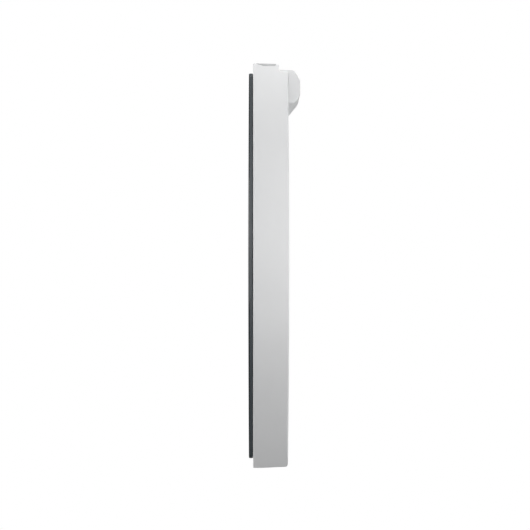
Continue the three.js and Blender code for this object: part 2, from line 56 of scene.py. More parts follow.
# the rear wall bows out to REAR_MID at height CREST, and falls off with the square of distance
REAR_MID, CREST = 42.8, 557.0
BOW_BELOW, BOW_ABOVE = 1.30e-5, 1.02e-5

PANEL_X, PANEL_Z0, PANEL_Z1, PANEL_R = 348.0, 26.0, 1122.5, 12.0
STUDS = [(x, z) for z in (38, 1110) for x in (-337, 337)]
HOOD_X = 330.0
LOCK_X, LOCK_Y = 240.0, 28
FOOT_X, FOOT_Z = 250.0, 34.0
GRILLE_SCREW_X, GRILLE_Y = 340, -23.5

# rectangles are (u0, u1, v0, v1)
REBATE, REBATE_R = (-344.5, 344.5, 30, 1118.5), 6.5     # x, z in the front face
POCKET, POCKET_R = (-38, 28, 900, 1060), 9              # y, z in the left wall
POCKET_FLOOR = -353.0
BAY, BAY_R = (-226, -74, -38, 18), 8                    # x, y in the underside
DIAL_Y, DIAL_Z = -5, 1015
KEY_Y, KEY_Z = -5, 940
LENS, LENS_R = (-60, 60, 110, 114), 1.9                 # x, z in the glass


def rear_y(z):
    d = z - CREST
    return REAR_MID - (BOW_BELOW if d < 0 else BOW_ABOVE) * d * d


# ================================================================ outlines
def fillet(corners, seg=5):
    """Closed 2D outline from (u, v, radius) corners."""
    out = []
    for i, (u, v, radius) in enumerate(corners):
        corner = Vector((u, v))
        if radius <= 0:
            out.append((u, v))
            continue
        back = Vector(corners[i - 1][:2]) - corner
        ahead = Vector(corners[(i + 1) % len(corners)][:2]) - corner
        back_len, ahead_len = back.length, ahead.length
        back.normalize()
        ahead.normalize()
        angle = math.acos(max(-1, min(1, back.dot(ahead))))
        if angle > math.radians(176):
            out.append((u, v))
            continue
        # the rounding may take up to 0.48 of either edge
        reach = min(radius / math.tan(angle / 2), back_len * 0.48, ahead_len * 0.48)
        r = reach * math.tan(angle / 2)
        centre = corner + (back + ahead).normalized() * (r / math.sin(angle / 2))
        first = corner + back * reach - centre
        last = corner + ahead * reach - centre
        a0, a1 = math.atan2(first.y, first.x), math.atan2(last.y, last.x)
        sweep = (a1 - a0 + math.pi) % (2 * math.pi) - math.pi
        for j in range(seg + 1):
            a = a0 + sweep * j / seg
            out.append((centre.x + r * math.cos(a), centre.y + r * math.sin(a)))
    return out


def ccw(points):
    area = sum(points[i - 1][0] * p[1] - p[0] * points[i - 1][1] for i, p in enumerate(points))
    return points if area > 0 else list(reversed(points))


def edge_normal(a, b):
    edge = b - a
    return Vector((edge.y, -edge.x)).normalized() if edge.length > 1e-9 else Vector((0, 0))


def mitred_normals(points):
    """Outward normals of a counter-clockwise outline, one per vertex."""
    out = []
    for i, p in enumerate(points):
        here = Vector(p)
        before = edge_normal(Vector(points[i - 1]), here)
        after = edge_normal(here, Vector(points[(i + 1) % len(points)]))
        mitre = before + after
        if mitre.length < 1e-6:
            mitre = before
        mitre.normalize()
        out.append(mitre / max(0.45, mitre.dot(before) if before.length else 1))
    return out


def grown(rect, by):
    u0, u1, v0, v1 = rect
    return u0 - by, u1 + by, v0 - by, v1 + by


def about(u, v, half_u, half_v):
    """Rectangle around a centre."""
    return u - half_u, u + half_u, v - half_v, v + half_v


def rrect(rect, r, seg=6, grow=0):
    """Rounded rectangle, counter-clockwise; grow offsets its sides and its corner radius."""
    u0, u1, v0, v1 = grown(rect, grow)
    r = r + grow
    corners = ((u1 - r, v0 + r, -90), (u1 - r, v1 - r, 0), (u0 + r, v1 - r, 90), (u0 + r, v0 + r, 180))
    points = []
    for cu, cv, start in corners:
        for i in range(seg + 1):
            a = math.radians(start + 90 * i / seg)
            points.append((cu + r * math.cos(a), cv + r * math.sin(a)))
    return points


def circle(u, v, r, n, turn=0):
    angles = [turn + 2 * math.pi * i / n for i in range(n)]
    return [(u + r * math.cos(a), v + r * math.sin(a)) for a in angles]


def place(axis, u, v, w):
    """2D point (u, v) at w along an axis: x -> (y, z), y -> (x, z), z -> (x, y)."""
    return {"x": (w, u, v), "y": (u, w, v), "z": (u, v, w)}[axis]


# ================================================================ solids
def link(name, bm):
    """Cleans a bmesh drawn in mm and makes it an object in metres."""
    bmesh.ops.remove_doubles(bm, verts=bm.verts, dist=1e-5)
    bmesh.ops.recalc_face_normals(bm, faces=bm.faces)
    bmesh.ops.scale(bm, vec=(MM, MM, MM), verts=bm.verts)
    mesh = bpy.data.meshes.new(name)
    bm.to_mesh(mesh)
    bm.free()
    o = bpy.data.objects.new(name, mesh)
    COL.objects.link(o)
    return o


def tube(bm, rings):
    """Open skin through rings of equal length; returns their vertices."""
    rows = [[bm.verts.new(p) for p in ring] for ring in rings]
    n = len(rings[0])
    for a, b in zip(rows, rows[1:]):
        for i in range(n):
            j = (i + 1) % n
            bm.faces.new((a[i], a[j], b[j], b[i]))
    return rows


def loft(name, rings):
    """Closed solid through rings of 3D points."""
    bm = bmesh.new()
    rows = tube(bm, rings)
    bm.faces.new(list(reversed(rows[0])))
    bm.faces.new(rows[-1])
    return link(name, bm)


def prism(name, outline, axis, start, end, r=0.0, seg=3):
    """An outline pushed along an axis, its two end edges rounded by r.
    r may be a list with one radius per point of a counter-clockwise outline."""
    points = ccw(outline)
    radii = r if isinstance(r, list) else [r] * len(points)
    if max(radii) == 0:
        return loft(name, [[place(axis, u, v, w) for u, v in points] for w in (start, end)])
    corners = list(zip(points, mitred_normals(points), radii))
    turns = [(start, 1, 1 - k / seg) for k in range(seg + 1)]
    turns += [(end, -1, k / seg) for k in range(seg + 1)]
    rings = []
    for w, inward, part in turns:
        t = math.pi / 2 * part
        side, along = 1 - math.cos(t), inward * (1 - math.sin(t))
        rings.append([place(axis, p[0] - n.x * q * side, p[1] - n.y * q * side, w + q * along)
                      for p, n, q in corners])
    return loft(name, rings)


def rect_loft(name, rect, r, seg, axis, steps):
    """Loft of a rounded rectangle through (w, grow) steps."""
    return loft(name, [[place(axis, u, v, w) for u, v in rrect(rect, r, seg, grow)]
                       for w, grow in steps])


def pocket_steps(surface, floor, mouth, inner, over=4.0, seg=4):
    """Steps of a cutter entering from lower w: mouth rounded at the surface, inner at the floor."""
    quarter = [math.pi / 2 * k / seg for k in range(seg + 1)]
    depth = floor - surface
    steps = [(surface - over, mouth)]
    steps += [(surface + (mouth - mouth * math.cos(t)), mouth - mouth * math.sin(t)) for t in quarter]
    steps += [(surface + (depth - inner + inner * math.sin(t)), -inner + inner * math.cos(t))
              for t in quarter]
    return steps


def spin_row(bm, radii, w, axis, u, v):
    """A ring of vertices about (u, v), one per radius."""
    n = len(radii)
    centre = Vector(place(axis, u, v, 0))
    row = []
    for i, r in enumerate(radii):
        a = 2 * math.pi * i / n
        row.append(bm.verts.new(Vector(place(axis, r * math.cos(a), r * math.sin(a), w)) + centre))
    return row


def spin_faces(bm, rows, n):
    """Faces between rings of n vertices; a row of one vertex is a point on the axis."""
    for a, b in zip(rows, rows[1:]):
        for i in range(n):
            j = (i + 1) % n
            if len(a) == 1:
                bm.faces.new((a[0], b[i], b[j]))
            elif len(b) == 1:
                bm.faces.new((a[i], b[0], a[j]))
            else:
                bm.faces.new((a[i], b[i], b[j], a[j]))


def lathe(name, profile, axis, u, v, n=48, base=0, out=1):
    """Turned solid about (u, v). profile is (radius, distance from base in direction out).
    A profile that leaves the axis free closes on itself as a ring."""
    bm = bmesh.new()
    rows = [spin_row(bm, [r] * n if r > 0 else [0], base + out * w, axis, u, v) for r, w in profile]
    if len(rows[0]) > 1 and len(rows[-1]) > 1:
        rows.append(rows[0])
    spin_faces(bm, rows, n)
    return link(name, bm)


def rod(axis, r, start, end, u, v, n=40):
    """A plain cutter through (u, v); n = 6 gives a hexagon."""
    return prism("tool", circle(u, v, r, n), axis, start, end)


def box(rect, z0, z1):
    """A plain cutter block on an (x, y) rectangle."""
    x0, x1, y0, y1 = rect
    return prism("tool", [(x0, y0), (x1, y0), (x1, y1), (x0, y1)], "z", z0, z1)


def stud_holes(r, start, end, n):
    return [rod("y", r, start, end, x, z, n) for x, z in STUDS]


# ================================================================ mesh edits
def remove_mesh(mesh):
    if mesh.users == 0:
        bpy.data.meshes.remove(mesh)


def baked(o):
    """Applies an object's modifiers to its mesh."""
    bpy.context.view_layer.update()
    depsgraph = bpy.context.evaluated_depsgraph_get()
    mesh = bpy.data.meshes.new_from_object(o.evaluated_get(depsgraph))
    old = o.data
    o.modifiers.clear()
    o.data = mesh
    mesh.name = o.name
    remove_mesh(old)
    return o


def boolean(o, tools, operation):
    """Combines an object with tools, which are used up."""
    for tool in tools:
        m = o.modifiers.new("boolean", "BOOLEAN")
        m.object = tool
        m.operation = operation
        m.solver = "EXACT"
    baked(o)
    for tool in tools:
        mesh = tool.data
        bpy.data.objects.remove(tool)
        remove_mesh(mesh)
    bm = bmesh.new()
    bm.from_mesh(o.data)
    bmesh.ops.remove_doubles(bm, verts=bm.verts, dist=2e-7)
    bmesh.ops.dissolve_degenerate(bm, edges=bm.edges, dist=1e-7)
    bm.to_mesh(o.data)
    bm.free()


def cut(o, *tools):
    boolean(o, tools, "DIFFERENCE")


def fuse(o, *tools):
    boolean(o, tools, "UNION")


def add_bevel(o, name, width, segments, angle):
    m = o.modifiers.new(name, "BEVEL")
    m.width = width * MM
    m.segments = segments
    m.limit_method = "ANGLE"
    m.angle_limit = math.radians(angle)
    return m


def shade(o, angle, weighted):
    """Smooth faces, with edges at or above the angle left sharp."""
    bm = bmesh.new()
    bm.from_mesh(o.data)
    limit = math.radians(angle)
    for f in bm.faces:
        f.smooth = True
    for e in bm.edges:
        e.smooth = len(e.link_faces) == 2 and e.calc_face_angle(0) < limit
    bm.to_mesh(o.data)
    bm.free()
    if weighted:
        m = o.modifiers.new("weighted", "WEIGHTED_NORMAL")
        m.keep_sharp = True
        m.weight = 70


# ================================================================ shader nodes
def wire(target, inputs):
    """Fills a node's inputs: an output socket is linked, anything else is a value."""
    for key, value in inputs.items():
        if isinstance(value, bpy.types.NodeSocket):
            target.id_data.links.new(value, target.inputs[key])
        else:
            target.inputs[key].default_value = value


def node(nt, kind, inputs=None, **props):
    new = nt.nodes.new("ShaderNode" + kind)
    for key, value in props.items():
        setattr(new, key, value)
    wire(new, inputs or {})
    return new


def ramp(nt, stops):
    """Colour ramp from (position, colour) stops; a bare number is a grey."""
    new = node(nt, "ValToRGB")
    elements = new.color_ramp.elements
    while len(elements) < len(stops):
        elements.new(0.5)
    for element, (position, colour) in zip(elements, stops):
        element.position = position
        element.color = (*colour, 1) if isinstance(colour, tuple) else (colour,) * 3 + (1,)
    return new


def remap(nt, value, source, target, blend="LINEAR"):
    """Maps the source range onto the target range."""
    return node(nt, "MapRange", {"From Min": source[0], "From Max": source[1], "To Min": target[0],
                                 "To Max": target[1], "Value": value},
                interpolation_type=blend).outputs["Result"]


def dot(nt, value, direction):
    return node(nt, "VectorMath", {0: value, 1: direction}, operation="DOT_PRODUCT").outputs["Value"]


# ================================================================ materials
FLECK_STRENGTH = 0.35
BUMP_PER_GRAIN = 0.35       # bump height as a share of the grain size


def material(name, base, rough, metal=0.0, grain=0.8, bump=0.1, tone=0.05, patch=90.0,
             stretch=(1, 1, 1), coat=0.0, coat_rough=0.12, spec=0.5, spots=None, rough_var=0.08,
             sheen=0.0):
    """A procedural finish. grain and patch are feature sizes in mm, tone the depth of colour
    drift, stretch the pattern's scale along X, Y, Z, and spots (size mm, colour, threshold)."""
    mat = bpy.data.materials.new(name)
    mat.use_nodes = True
    nt = mat.node_tree
    nt.nodes.clear()
    out = node(nt, "OutputMaterial")
    bsdf = node(nt, "BsdfPrincipled")
    wire(out, {"Surface": bsdf.outputs["BSDF"]})
    coords = node(nt, "TexCoord").outputs["Object"]
    mapped = node(nt, "Mapping", {"Scale": stretch, "Vector": coords}).outputs["Vector"]
    drift = node(nt, "TexNoise", {"Scale": 1000.0 / patch, "Detail": 3, "Vector": coords})
    fine = node(nt, "TexNoise", {"Scale": 1000.0 / grain, "Detail": 4, "Roughness": 0.6,
                                 "Vector": mapped}).outputs["Fac"]
    broad = ramp(nt, [(0.32, tuple(c * (1 - tone) for c in base)),
                      (0.68, tuple(c * (1 + tone) for c in base))])
    wire(broad, {"Fac": drift.outputs["Fac"]})
    mix = node(nt, "Mix", data_type="RGBA", blend_type="MULTIPLY")
    speckle = ramp(nt, [(0.3, 1 - tone * 0.8), (0.7, 1.0)])
    wire(speckle, {"Fac": fine})
    wire(mix, {0: 1.0, 6: broad.outputs["Color"], 7: speckle.outputs["Color"]})
    colour = mix.outputs[2]
    if spots:
        size, spot_colour, threshold = spots
        cells = node(nt, "TexVoronoi", {"Scale": 1000.0 / size, "Vector": coords})
        mask = ramp(nt, [(threshold, 1), (threshold + 0.04, 0)])
        wire(mask, {"Fac": cells.outputs["Distance"]})
        flecked = node(nt, "Mix", {}, data_type="RGBA")
        amount = node(nt, "Math", {0: mask.outputs["Color"], 1: FLECK_STRENGTH}, operation="MULTIPLY")
        wire(flecked, {0: amount.outputs[0], 6: colour, 7: (*spot_colour, 1)})
        colour = flecked.outputs[2]
    uneven = ramp(nt, [(0.3, rough - rough_var), (0.7, rough + rough_var)])
    wire(uneven, {"Fac": fine})
    wire(bsdf, {"Base Color": colour, "Roughness": uneven.outputs["Color"], "Metallic": metal,
                "Specular IOR Level": spec, "Coat Weight": coat, "Coat Roughness": coat_rough,
                "Sheen Weight": sheen})
    if bump:
        relief = node(nt, "Bump", {"Strength": bump, "Distance": grain * MM * BUMP_PER_GRAIN,
                                   "Height": fine})
        wire(bsdf, {"Normal": relief.outputs["Normal"]})
    return mat


def brushed(name, base, rough, stretch=(1, 1, 1), grain=0.5):
    return material(name, base, rough, metal=1.0, grain=grain, bump=0.12, tone=0.07, patch=40,
                    stretch=stretch, rough_var=0.07)


def tree_and_bsdf(mat):
    return mat.node_tree, mat.node_tree.nodes["Principled BSDF"]


def glass_material():
    """Polished dark glass: a gloss coat, faint ripple and slightly uneven roughness."""
    mat = material("dark_glass", base=(0.027, 0.035, 0.042), rough=0.085, grain=18, bump=0.0,
                   tone=0.12, patch=220, coat=1.0, coat_rough=0.03, spec=0.6, rough_var=0.02)
    nt, bsdf = tree_and_bsdf(mat)
    coords = node(nt, "TexCoord").outputs["Object"]
    wave = node(nt, "TexNoise", {"Scale": 9, "Detail": 1, "Vector": coords})
    ripple = node(nt, "Bump", {"Strength": 0.05, "Distance": 0.0008, "Height": wave.outputs["Fac"]})
    wire(bsdf, {"Normal": ripple.outputs["Normal"]})
    return mat


def board_material():
    """Green solder mask with fine paler tracks."""
    mat = material("solder_mask", base=(0.018, 0.15, 0.07), rough=0.35, grain=1.2, bump=0.2,
                   tone=0.1, patch=20, coat=0.3)
    nt, bsdf = tree_and_bsdf(mat)
    mask_colour = bsdf.inputs["Base Color"].links[0].from_socket
    coords = node(nt, "TexCoord").outputs["Object"]
    tracks = node(nt, "TexBrick", {"Scale": 90, "Mortar Size": 0.03, "Color1": (0, 0, 0, 1),
                                   "Color2": (0, 0, 0, 1), "Mortar": (1, 1, 1, 1)})
    upright = node(nt, "Mapping", {"Rotation": (math.pi / 2, 0, 0), "Vector": coords})
    wire(tracks, {"Vector": upright.outputs["Vector"]})
    mix = node(nt, "Mix", data_type="RGBA")
    wire(mix, {0: tracks.outputs["Color"], 6: mask_colour, 7: (0.06, 0.30, 0.13, 1)})
    wire(bsdf, {"Base Color": mix.outputs[2]})
    return mat


def lens_material():
    """Milky diffuser, glowing most at the middle of the width."""
    mat = material("milky_lens", base=(0.72, 0.80, 0.78), rough=0.30, grain=1.5, bump=0.05,
                   tone=0.03, patch=30)
    nt, bsdf = tree_and_bsdf(mat)
    coords = node(nt, "TexCoord").outputs["Object"]
    split = node(nt, "SeparateXYZ", {0: coords})
    off_centre = node(nt, "Math", {0: split.outputs["X"]}, operation="ABSOLUTE")
    glow = remap(nt, off_centre.outputs[0], source=(0.0, 0.062), target=(0.9, 0.35))
    wire(bsdf, {"Emission Color": (0.55, 0.95, 0.75, 1), "Emission Strength": glow})
    return mat


MAT = {
    "shell": material("powder_white", base=(0.760, 0.765, 0.770), rough=0.40, grain=0.9, bump=0.22,
                      tone=0.012, patch=160, spots=(1.1, (0.70, 0.70, 0.70), 0.10)),
    # Grey for the hood: a light grey paint, set darker than the shell as painted shade that stands in
    # for the shade falling on the hood.
    "trim_painted_shade": material("powder_grey_painted_shade", base=(0.660, 0.663, 0.667), rough=0.44, grain=0.9, bump=0.25,
                     tone=0.02, patch=120, spots=(1.2, (0.6, 0.6, 0.6), 0.12)),
    "grille": material("grille_grey", base=(0.50, 0.505, 0.51), rough=0.46, grain=0.8, bump=0.2,
                       tone=0.03, patch=80),
    "carrier": material("charcoal_moulding", base=(0.044, 0.055, 0.063), rough=0.36, grain=0.45,
                        bump=0.25, tone=0.06, patch=60, spec=0.55),
    "black": material("black_moulding", base=(0.022, 0.023, 0.025), rough=0.48, grain=0.5, bump=0.3,
                      tone=0.08, patch=40),
    "plate": material("pocket_moulding", base=(0.060, 0.062, 0.065), rough=0.55, grain=0.6,
                      bump=0.4, tone=0.08, patch=40),
    "grey": material("grey_moulding", base=(0.43, 0.44, 0.45), rough=0.42, grain=0.5, bump=0.25,
                     tone=0.04, patch=40),
    "red": material("red_moulding", base=(0.52, 0.025, 0.018), rough=0.30, grain=0.4, bump=0.1,
                    tone=0.06, patch=25, coat=0.2),
    "rubber": material("black_rubber", base=(0.018, 0.018, 0.018), rough=0.82, grain=0.35, bump=0.5,
                       tone=0.15, patch=20, spec=0.25, sheen=0.15),
    "zinc": brushed("zinc_plate", base=(0.60, 0.61, 0.63), rough=0.34, grain=0.7),
    "sheet": material("satin_sheet", base=(0.64, 0.65, 0.66), rough=0.50, metal=0.72, grain=0.8,
                      bump=0.12, tone=0.07, patch=40, stretch=(0.03, 1, 1), rough_var=0.07),
    "alloy": brushed("mill_alloy", base=(0.66, 0.67, 0.68), rough=0.38, stretch=(0.03, 1, 1),
                     grain=0.8),
    "module": material("cell_case", base=(0.26, 0.28, 0.30), rough=0.42, metal=0.9, grain=0.6,
                       bump=0.15, tone=0.06, patch=60),
    "copper": brushed("bare_copper", base=(0.78, 0.38, 0.24), rough=0.28, stretch=(0.1, 1, 1),
                      grain=0.6),
    "orange": material("orange_jacket", base=(0.72, 0.20, 0.02), rough=0.55, grain=0.8, bump=0.2,
                       tone=0.06, patch=30),
    "mark": material("pad_print_white", base=(0.72, 0.73, 0.73), rough=0.5, grain=0.3, bump=0.2,
                     tone=0.05, patch=8),
    "glass": glass_material(),
    "board": board_material(),
    "lens": lens_material(),
}


def finish(o, look, *stands_for, body="unit", angle=32, weighted=True):
    """Dresses a piece, ties it to its body and hides the CAD pieces it stands for."""
    o.data.materials.clear()
    o.data.materials.append(MAT[look])
    shade(o, angle, weighted)
    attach(o, body)
    if stands_for:
        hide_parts(*stands_for)


def socket_screw(name, profile, axis, u, v, n, socket, *stands_for, base=0, out=1):
    """A screw with a hexagon socket, given as (radius, start, end) along the axis."""
    screw = lathe(name, profile, axis, u, v, n, base, out)
    cut(screw, rod(axis, *socket, u, v, 6))
    finish(screw, "zinc", *stands_for)


# ================================================================ housing
# (y, z, radius)
TOP_CHANNEL = [(-52.9, 1156, 0), (-52.9, 1150.2, 0), (-52.0, 1149.2, 0.6), (-52.0, 1148.3, 0.6),
               (-34.3, 1144.2, 8), (5.0, 1143.8, 0.8), (5.0, 1147.0, 0.6), (5.9, 1148.3, 0),
               (5.9, 1156, 0)]
CHANNEL_END = [(-43.0, 1151, 0), (-43.0, 1146.9, 0), (-32.5, 1142.45, 3), (3.9, 1142.2, 0.6),
               (2.6, 1146.0, 0), (5.0, 1151, 0)]
CHANNEL_END_X = 371


def shell_end_radius(y, z):
    """Rounding of the side walls' edge: widest down the bowed rear."""
    if y > 30 and 16 < z < 1118:
        k = min(1, (z - 16) / 30, (1118 - z) / 26)
        return 2.4 + 3.4 * k * k * (3 - 2 * k)
    if y > 11.5 and z > 1100:
        return 1.4
    return 2.0


def housing_body():
    corners = [(FRONT_Y, 0, 2.1), (-36, 0, 60), (13, 2.4, 60), (rear_y(3), 3.3, 8.5)]
    corners += [(rear_y(z), z, 0) for z in range(26, 1100, 26)]
    corners += [(rear_y(1112), 1112, 0), (rear_y(1126), 1125.6, 3.0), (13, 1129.6, 1.6),
                (13, 1147.4, 3.4), (FRONT_Y, HEIGHT, 2.1)]
    outline = fillet(corners, 6)
    radii = [shell_end_radius(y, z) for y, z in outline]
    return prism("housing_shell", outline, "x", -HALF, HALF, radii, seg=7)


def housing_cavity():
    """The hollow, with material left around the pocket, the bay and the foot seats."""
    corners = [(-51, 5, 2), (20, 7.2, 0), (rear_y(20) - WALL, 9, 6)]
    corners += [(rear_y(z) - WALL, z, 0) for z in range(60, 1110, 75)]
    corners += [(rear_y(1121) - WALL, 1121.5, 3), (9, 1124.5, 1), (9, 1141.0, 3), (-51, 1141.0, 2)]
    cavity = prism("tool", fillet(corners, 3), "x", -HALF + WALL, HALF - WALL)
    y0, y1, z0, z1 = grown(POCKET, WALL)
    cut(cavity, box((-HALF - 1, -350, y0, y1), z0, z1), box(grown(BAY, WALL), -1, 34),
        *[rod("y", 18, 0, 60, s * FOOT_X, FOOT_Z) for _, s in SIDES])
    return cavity


def foot_recess(s):
    """Round seat for a foot, flared where it meets the rear wall."""
    wall = rear_y(FOOT_Z)
    profile = [(0, 31.7), (13.4, 31.7), (14, 32.3), (14, wall - 1.3), (14.35, wall - 0.5),
               (15.2, wall + 0.05), (16.2, wall + 0.4), (16.2, 60), (0, 60)]
    return lathe("tool", profile, "y", s * FOOT_X, FOOT_Z, 56)


def build_housing():
    shell = housing_body()
    cut(shell, housing_cavity())
    # rebate behind the glass
    cut(shell, rect_loft("tool", REBATE, REBATE_R, 8, "y",
                         pocket_steps(FRONT_Y, -55, mouth=0.8, inner=0.6)))

    # front opening, and the channel under the top grille
    tools = [rect_loft("tool", (-330, 330, 46, 1104), 9, 8, "y", [(-56, 0), (-49, 0)]),
             prism("tool", fillet(TOP_CHANNEL, 4), "x", -HALF - 5, HALF + 5)]
    for _, s in SIDES:
        ends = sorted((s * CHANNEL_END_X, s * (HALF + 5)))
        tools.append(prism("tool", fillet(CHANNEL_END, 3), "x", *ends))
    cut(shell, *tools)

    # slot through the top wall, control pocket, cable bay with its opening, foot bores
    cut(shell,
        prism("tool", rrect((-205, 205, -49, 2), 4), "z", 1138, 1148),
        rect_loft("tool", POCKET, POCKET_R, 8, "x",
                  pocket_steps(-HALF, POCKET_FLOOR, mouth=2.2, inner=1.6, seg=6)),
        rect_loft("tool", BAY, BAY_R, 8, "z",
                  pocket_steps(1.2, 30, mouth=1.2, inner=1.5, over=5)),
        prism("tool", rrect(grown(BAY, -10), 5), "z", 20, 40),
        *[rod("y", 9.5, -10, 60, s * FOOT_X, FOOT_Z) for _, s in SIDES])

    # foot recesses and the holes for screws, studs, dial and button
    tools = []
    for _, s in SIDES:
        tools += [foot_recess(s),
                  rod("z", 3.4, 1116, 1135, s * LOCK_X, LOCK_Y, 24),
                  rod("z", 2.6, 1135, 1150, s * GRILLE_SCREW_X, GRILLE_Y, 24)]
    tools += stud_holes(2.6, -62, -48, 24)
    tools.append(rod("x", 5.4, -360, -345, DIAL_Y, DIAL_Z, 32))
    tools.append(rod("x", 10.2, -360, -345, KEY_Y, KEY_Z))
    cut(shell, *tools)
    finish(shell, "shell", "housing", angle=28)


build_housing()

# ================================================================ glass panel
GLASS_FRONT, CROWN = -74.0, 1.75        # foremost y, and how far the top and bottom fall back
GLASS_BACK, GLASS_EDGE = -70.3, -70.9   # back face y, and the rearmost y of the front rounding
# (inset, distance behind the flat back face)
GLASS_BACK_EDGE = [(1.0, 0.0), (0.35, -0.12), (0.0, -0.5)]
# (inset, distance behind the crowned face)
GLASS_FRONT_EDGE = [(0.0, 2.2), (0.12, 1.35), (0.5, 0.66), (1.15, 0.2), (2.1, 0.02), (3.4, 0.0)]
# (y, inset)
TRAY_LEVELS = [(-60.4, 3.0), (-60.62, 1.9), (-61.3, 0.9), (-62.4, 0.3), (-63.6, 0.0),
               (-69.3, 0.0), (-69.85, 0.25), (-70.05, 0.8)]
# lines of the stiffening ribs on the tray's back; the outermost are the rim
TRAY_X = [-342.5, -171, 0, 171, 342.5]
TRAY_Z = [31.5, 123, 302, 482, 662, 842, 1022, 1117]
HALF_RIB = 0.9
# (radius, y)
STUD_CUP = [(0, -67.6), (7.4, -67.6), (7.4, -61.9), (6.9, -61.4), (0, -61.4)]
STUD_CUP_BORE = [(0, -66.95), (4.4, -66.95), (4.4, -63.0), (3.9, -62.4), (4.6, -61.3),
                 (4.6, -60), (0, -60)]
LED_COUNT, LED_PITCH, LED_Z, LED_HALF = 6, 20, 112, 1.8


def panel_outline(inset, rows):
    """Panel outline in x and z, its upright sides sampled in rows; the right half comes first."""
    x, z0, z1, r = PANEL_X - inset, PANEL_Z0 + inset, PANEL_Z1 - inset, PANEL_R - inset
    right = []
    for i in range(9):
        a = math.radians(-90 + 90 * i / 8)
        right.append((x - r + r * math.cos(a), z0 + r + r * math.sin(a)))
    for i in range(1, rows):
        right.append((x, z0 + r + (z1 - z0 - 2 * r) * i / rows))
    for i in range(9):
        a = math.radians(90 * i / 8)
        right.append((x - r + r * math.cos(a), z1 - r + r * math.sin(a)))
    return right + [(-u, v) for u, v in reversed(right)]


def glass_y(z):
    middle, half = (PANEL_Z0 + PANEL_Z1) / 2, (PANEL_Z1 - PANEL_Z0) / 2
    return GLASS_FRONT + CROWN * ((z - middle) / half) ** 2


def strip_cap(bm, ring, flip=False):
    """Fills a ring by rows across it, so that the crown keeps its curve."""
    n = len(ring)
    for i in range(n // 2 - 1):
        quad = (ring[i], ring[i + 1], ring[n - 2 - i], ring[n - 1 - i])
        bm.faces.new(quad[::-1] if flip else quad)


def build_glass():
    rings = [[(x, GLASS_BACK + d, z) for x, z in panel_outline(inset, 34)]
             for inset, d in GLASS_BACK_EDGE]
    rings += [[(x, min(glass_y(z) + d, GLASS_EDGE), z) for x, z in panel_outline(inset, 34)]
              for inset, d in GLASS_FRONT_EDGE]
    bm = bmesh.new()
    rows = tube(bm, rings)
    strip_cap(bm, rows[0], flip=True)
    strip_cap(bm, rows[-1])
    pane = link("glass_pane", bm)
    cut(pane, rect_loft("tool", grown(LENS, 0.5), LENS_R + 0.5, 6, "y",
                        [(-80, 0.7), (-73.6, 0.7), (-72.6, 0.0), (-60, 0.0)]))
    finish(pane, "glass", "front_glass", body="front_panel", angle=40, weighted=False)


def spans(lines):
    """Clear spans between rib lines."""
    last = len(lines) - 2
    return [(a + (HALF_RIB if i else 0), b - (HALF_RIB if i < last else 0))
            for i, (a, b) in enumerate(zip(lines, lines[1:]))]


def build_carrier():
    tray = loft("glass_tray", [[(x, y, z) for x, z in panel_outline(inset, 6)]
                               for y, inset in TRAY_LEVELS])
    # hollow back, with the ribs left standing
    cut(tray, *[rect_loft("tool", x_span + z_span, 4, 3, "y",
                          [(-58, 0.5), (-60.4, 0.5), (-61.0, 0.0), (-67.0, -0.3)])
                for x_span in spans(TRAY_X) for z_span in spans(TRAY_Z)])
    fuse(tray, *[lathe("tool", STUD_CUP, "y", x, z, 40) for x, z in STUDS])
    # stud bores, then the room for the light board and the lens
    cut(tray, *[lathe("tool", STUD_CUP_BORE, "y", x, z, 40) for x, z in STUDS],
        prism("tool", rrect((-67, 67, 100, 124), 2), "y", -67, -58),
        prism("tool", rrect((-64, 64, 105, 119), 2), "y", -72, -66))
    finish(tray, "carrier", "glass_carrier", body="front_panel", angle=35)


def build_light():
    lens = prism("lens_bar", rrect(LENS, LENS_R), "y", -72.55, -69.2, r=0.35)
    fuse(lens, prism("tool", rrect((-63, 63, 106, 118), 1.5, 4), "y", -69.9, -67.6, r=0.25))
    finish(lens, "lens", "status_lens", body="front_panel")
    board = prism("light_board", rrect((-66, 66, 101, 123), 1.2, 3), "y", -66.6, -65.0, r=0.15)
    finish(board, "board", "led_board", body="front_panel")
    for i in range(LED_COUNT):
        x = LED_PITCH * (i - (LED_COUNT - 1) / 2)
        chip = prism(f"light_chip_{i + 1}", rrect(about(x, LED_Z, LED_HALF, LED_HALF), 0.4, 2),
                     "y", -67.35, -66.65, r=0.15)
        finish(chip, "lens", body="front_panel")


build_glass()
build_carrier()
build_light()

# ================================================================ cover, gasket, ball studs
COVER_GAP = 0.5                         # between the cover and the rebate's sides
COVER_RIB_Z, COVER_RIB_HALF_X, COVER_RIB_HALF_Z = (300, 575, 850), 290, 21
# (y, grow)
COVER_RIB = [(-58.2, 3.2), (-59.0, 3.2), (-59.3, 2.2), (-60.0, 1.1), (-61.4, 0.0),
             (-62.1, -0.8), (-62.45, -2.0), (-62.5, -3.2)]
BALL_R, BALL_Y, BALL_TIP = 3.5, -63.2, -66.7
# (radius, y) from the neck to the rear end
STUD_STEM = [(2.1, -60.9), (2.0, -60.5), (4.2, -60.4), (4.6, -60.1), (4.6, -59.5), (4.3, -59.25),
             (2.2, -59.25), (2.2, -46.8), (1.8, -46.4), (0, -46.4)]


def build_cover():
    outline = rrect(REBATE, REBATE_R, 8, -COVER_GAP)
    sheet = prism("cover_sheet", outline, "y", -59, -57, r=0.4)
    fuse(sheet, *[rect_loft("tool", about(0, z, COVER_RIB_HALF_X, COVER_RIB_HALF_Z), 16, 10, "y",
                            COVER_RIB) for z in COVER_RIB_Z])
    cut(sheet, *stud_holes(2.8, -64, -50, 28))
    finish(sheet, "sheet", "front_cover")
    seal = prism("cover_seal", outline, "y", -56.75, -55.25, r=0.5)
    cut(seal, prism("tool", rrect((-331, 331, 45, 1105), 8, 8), "y", -60, -50),
        *stud_holes(2.8, -64, -50, 24))
    finish(seal, "rubber", "cover_gasket")


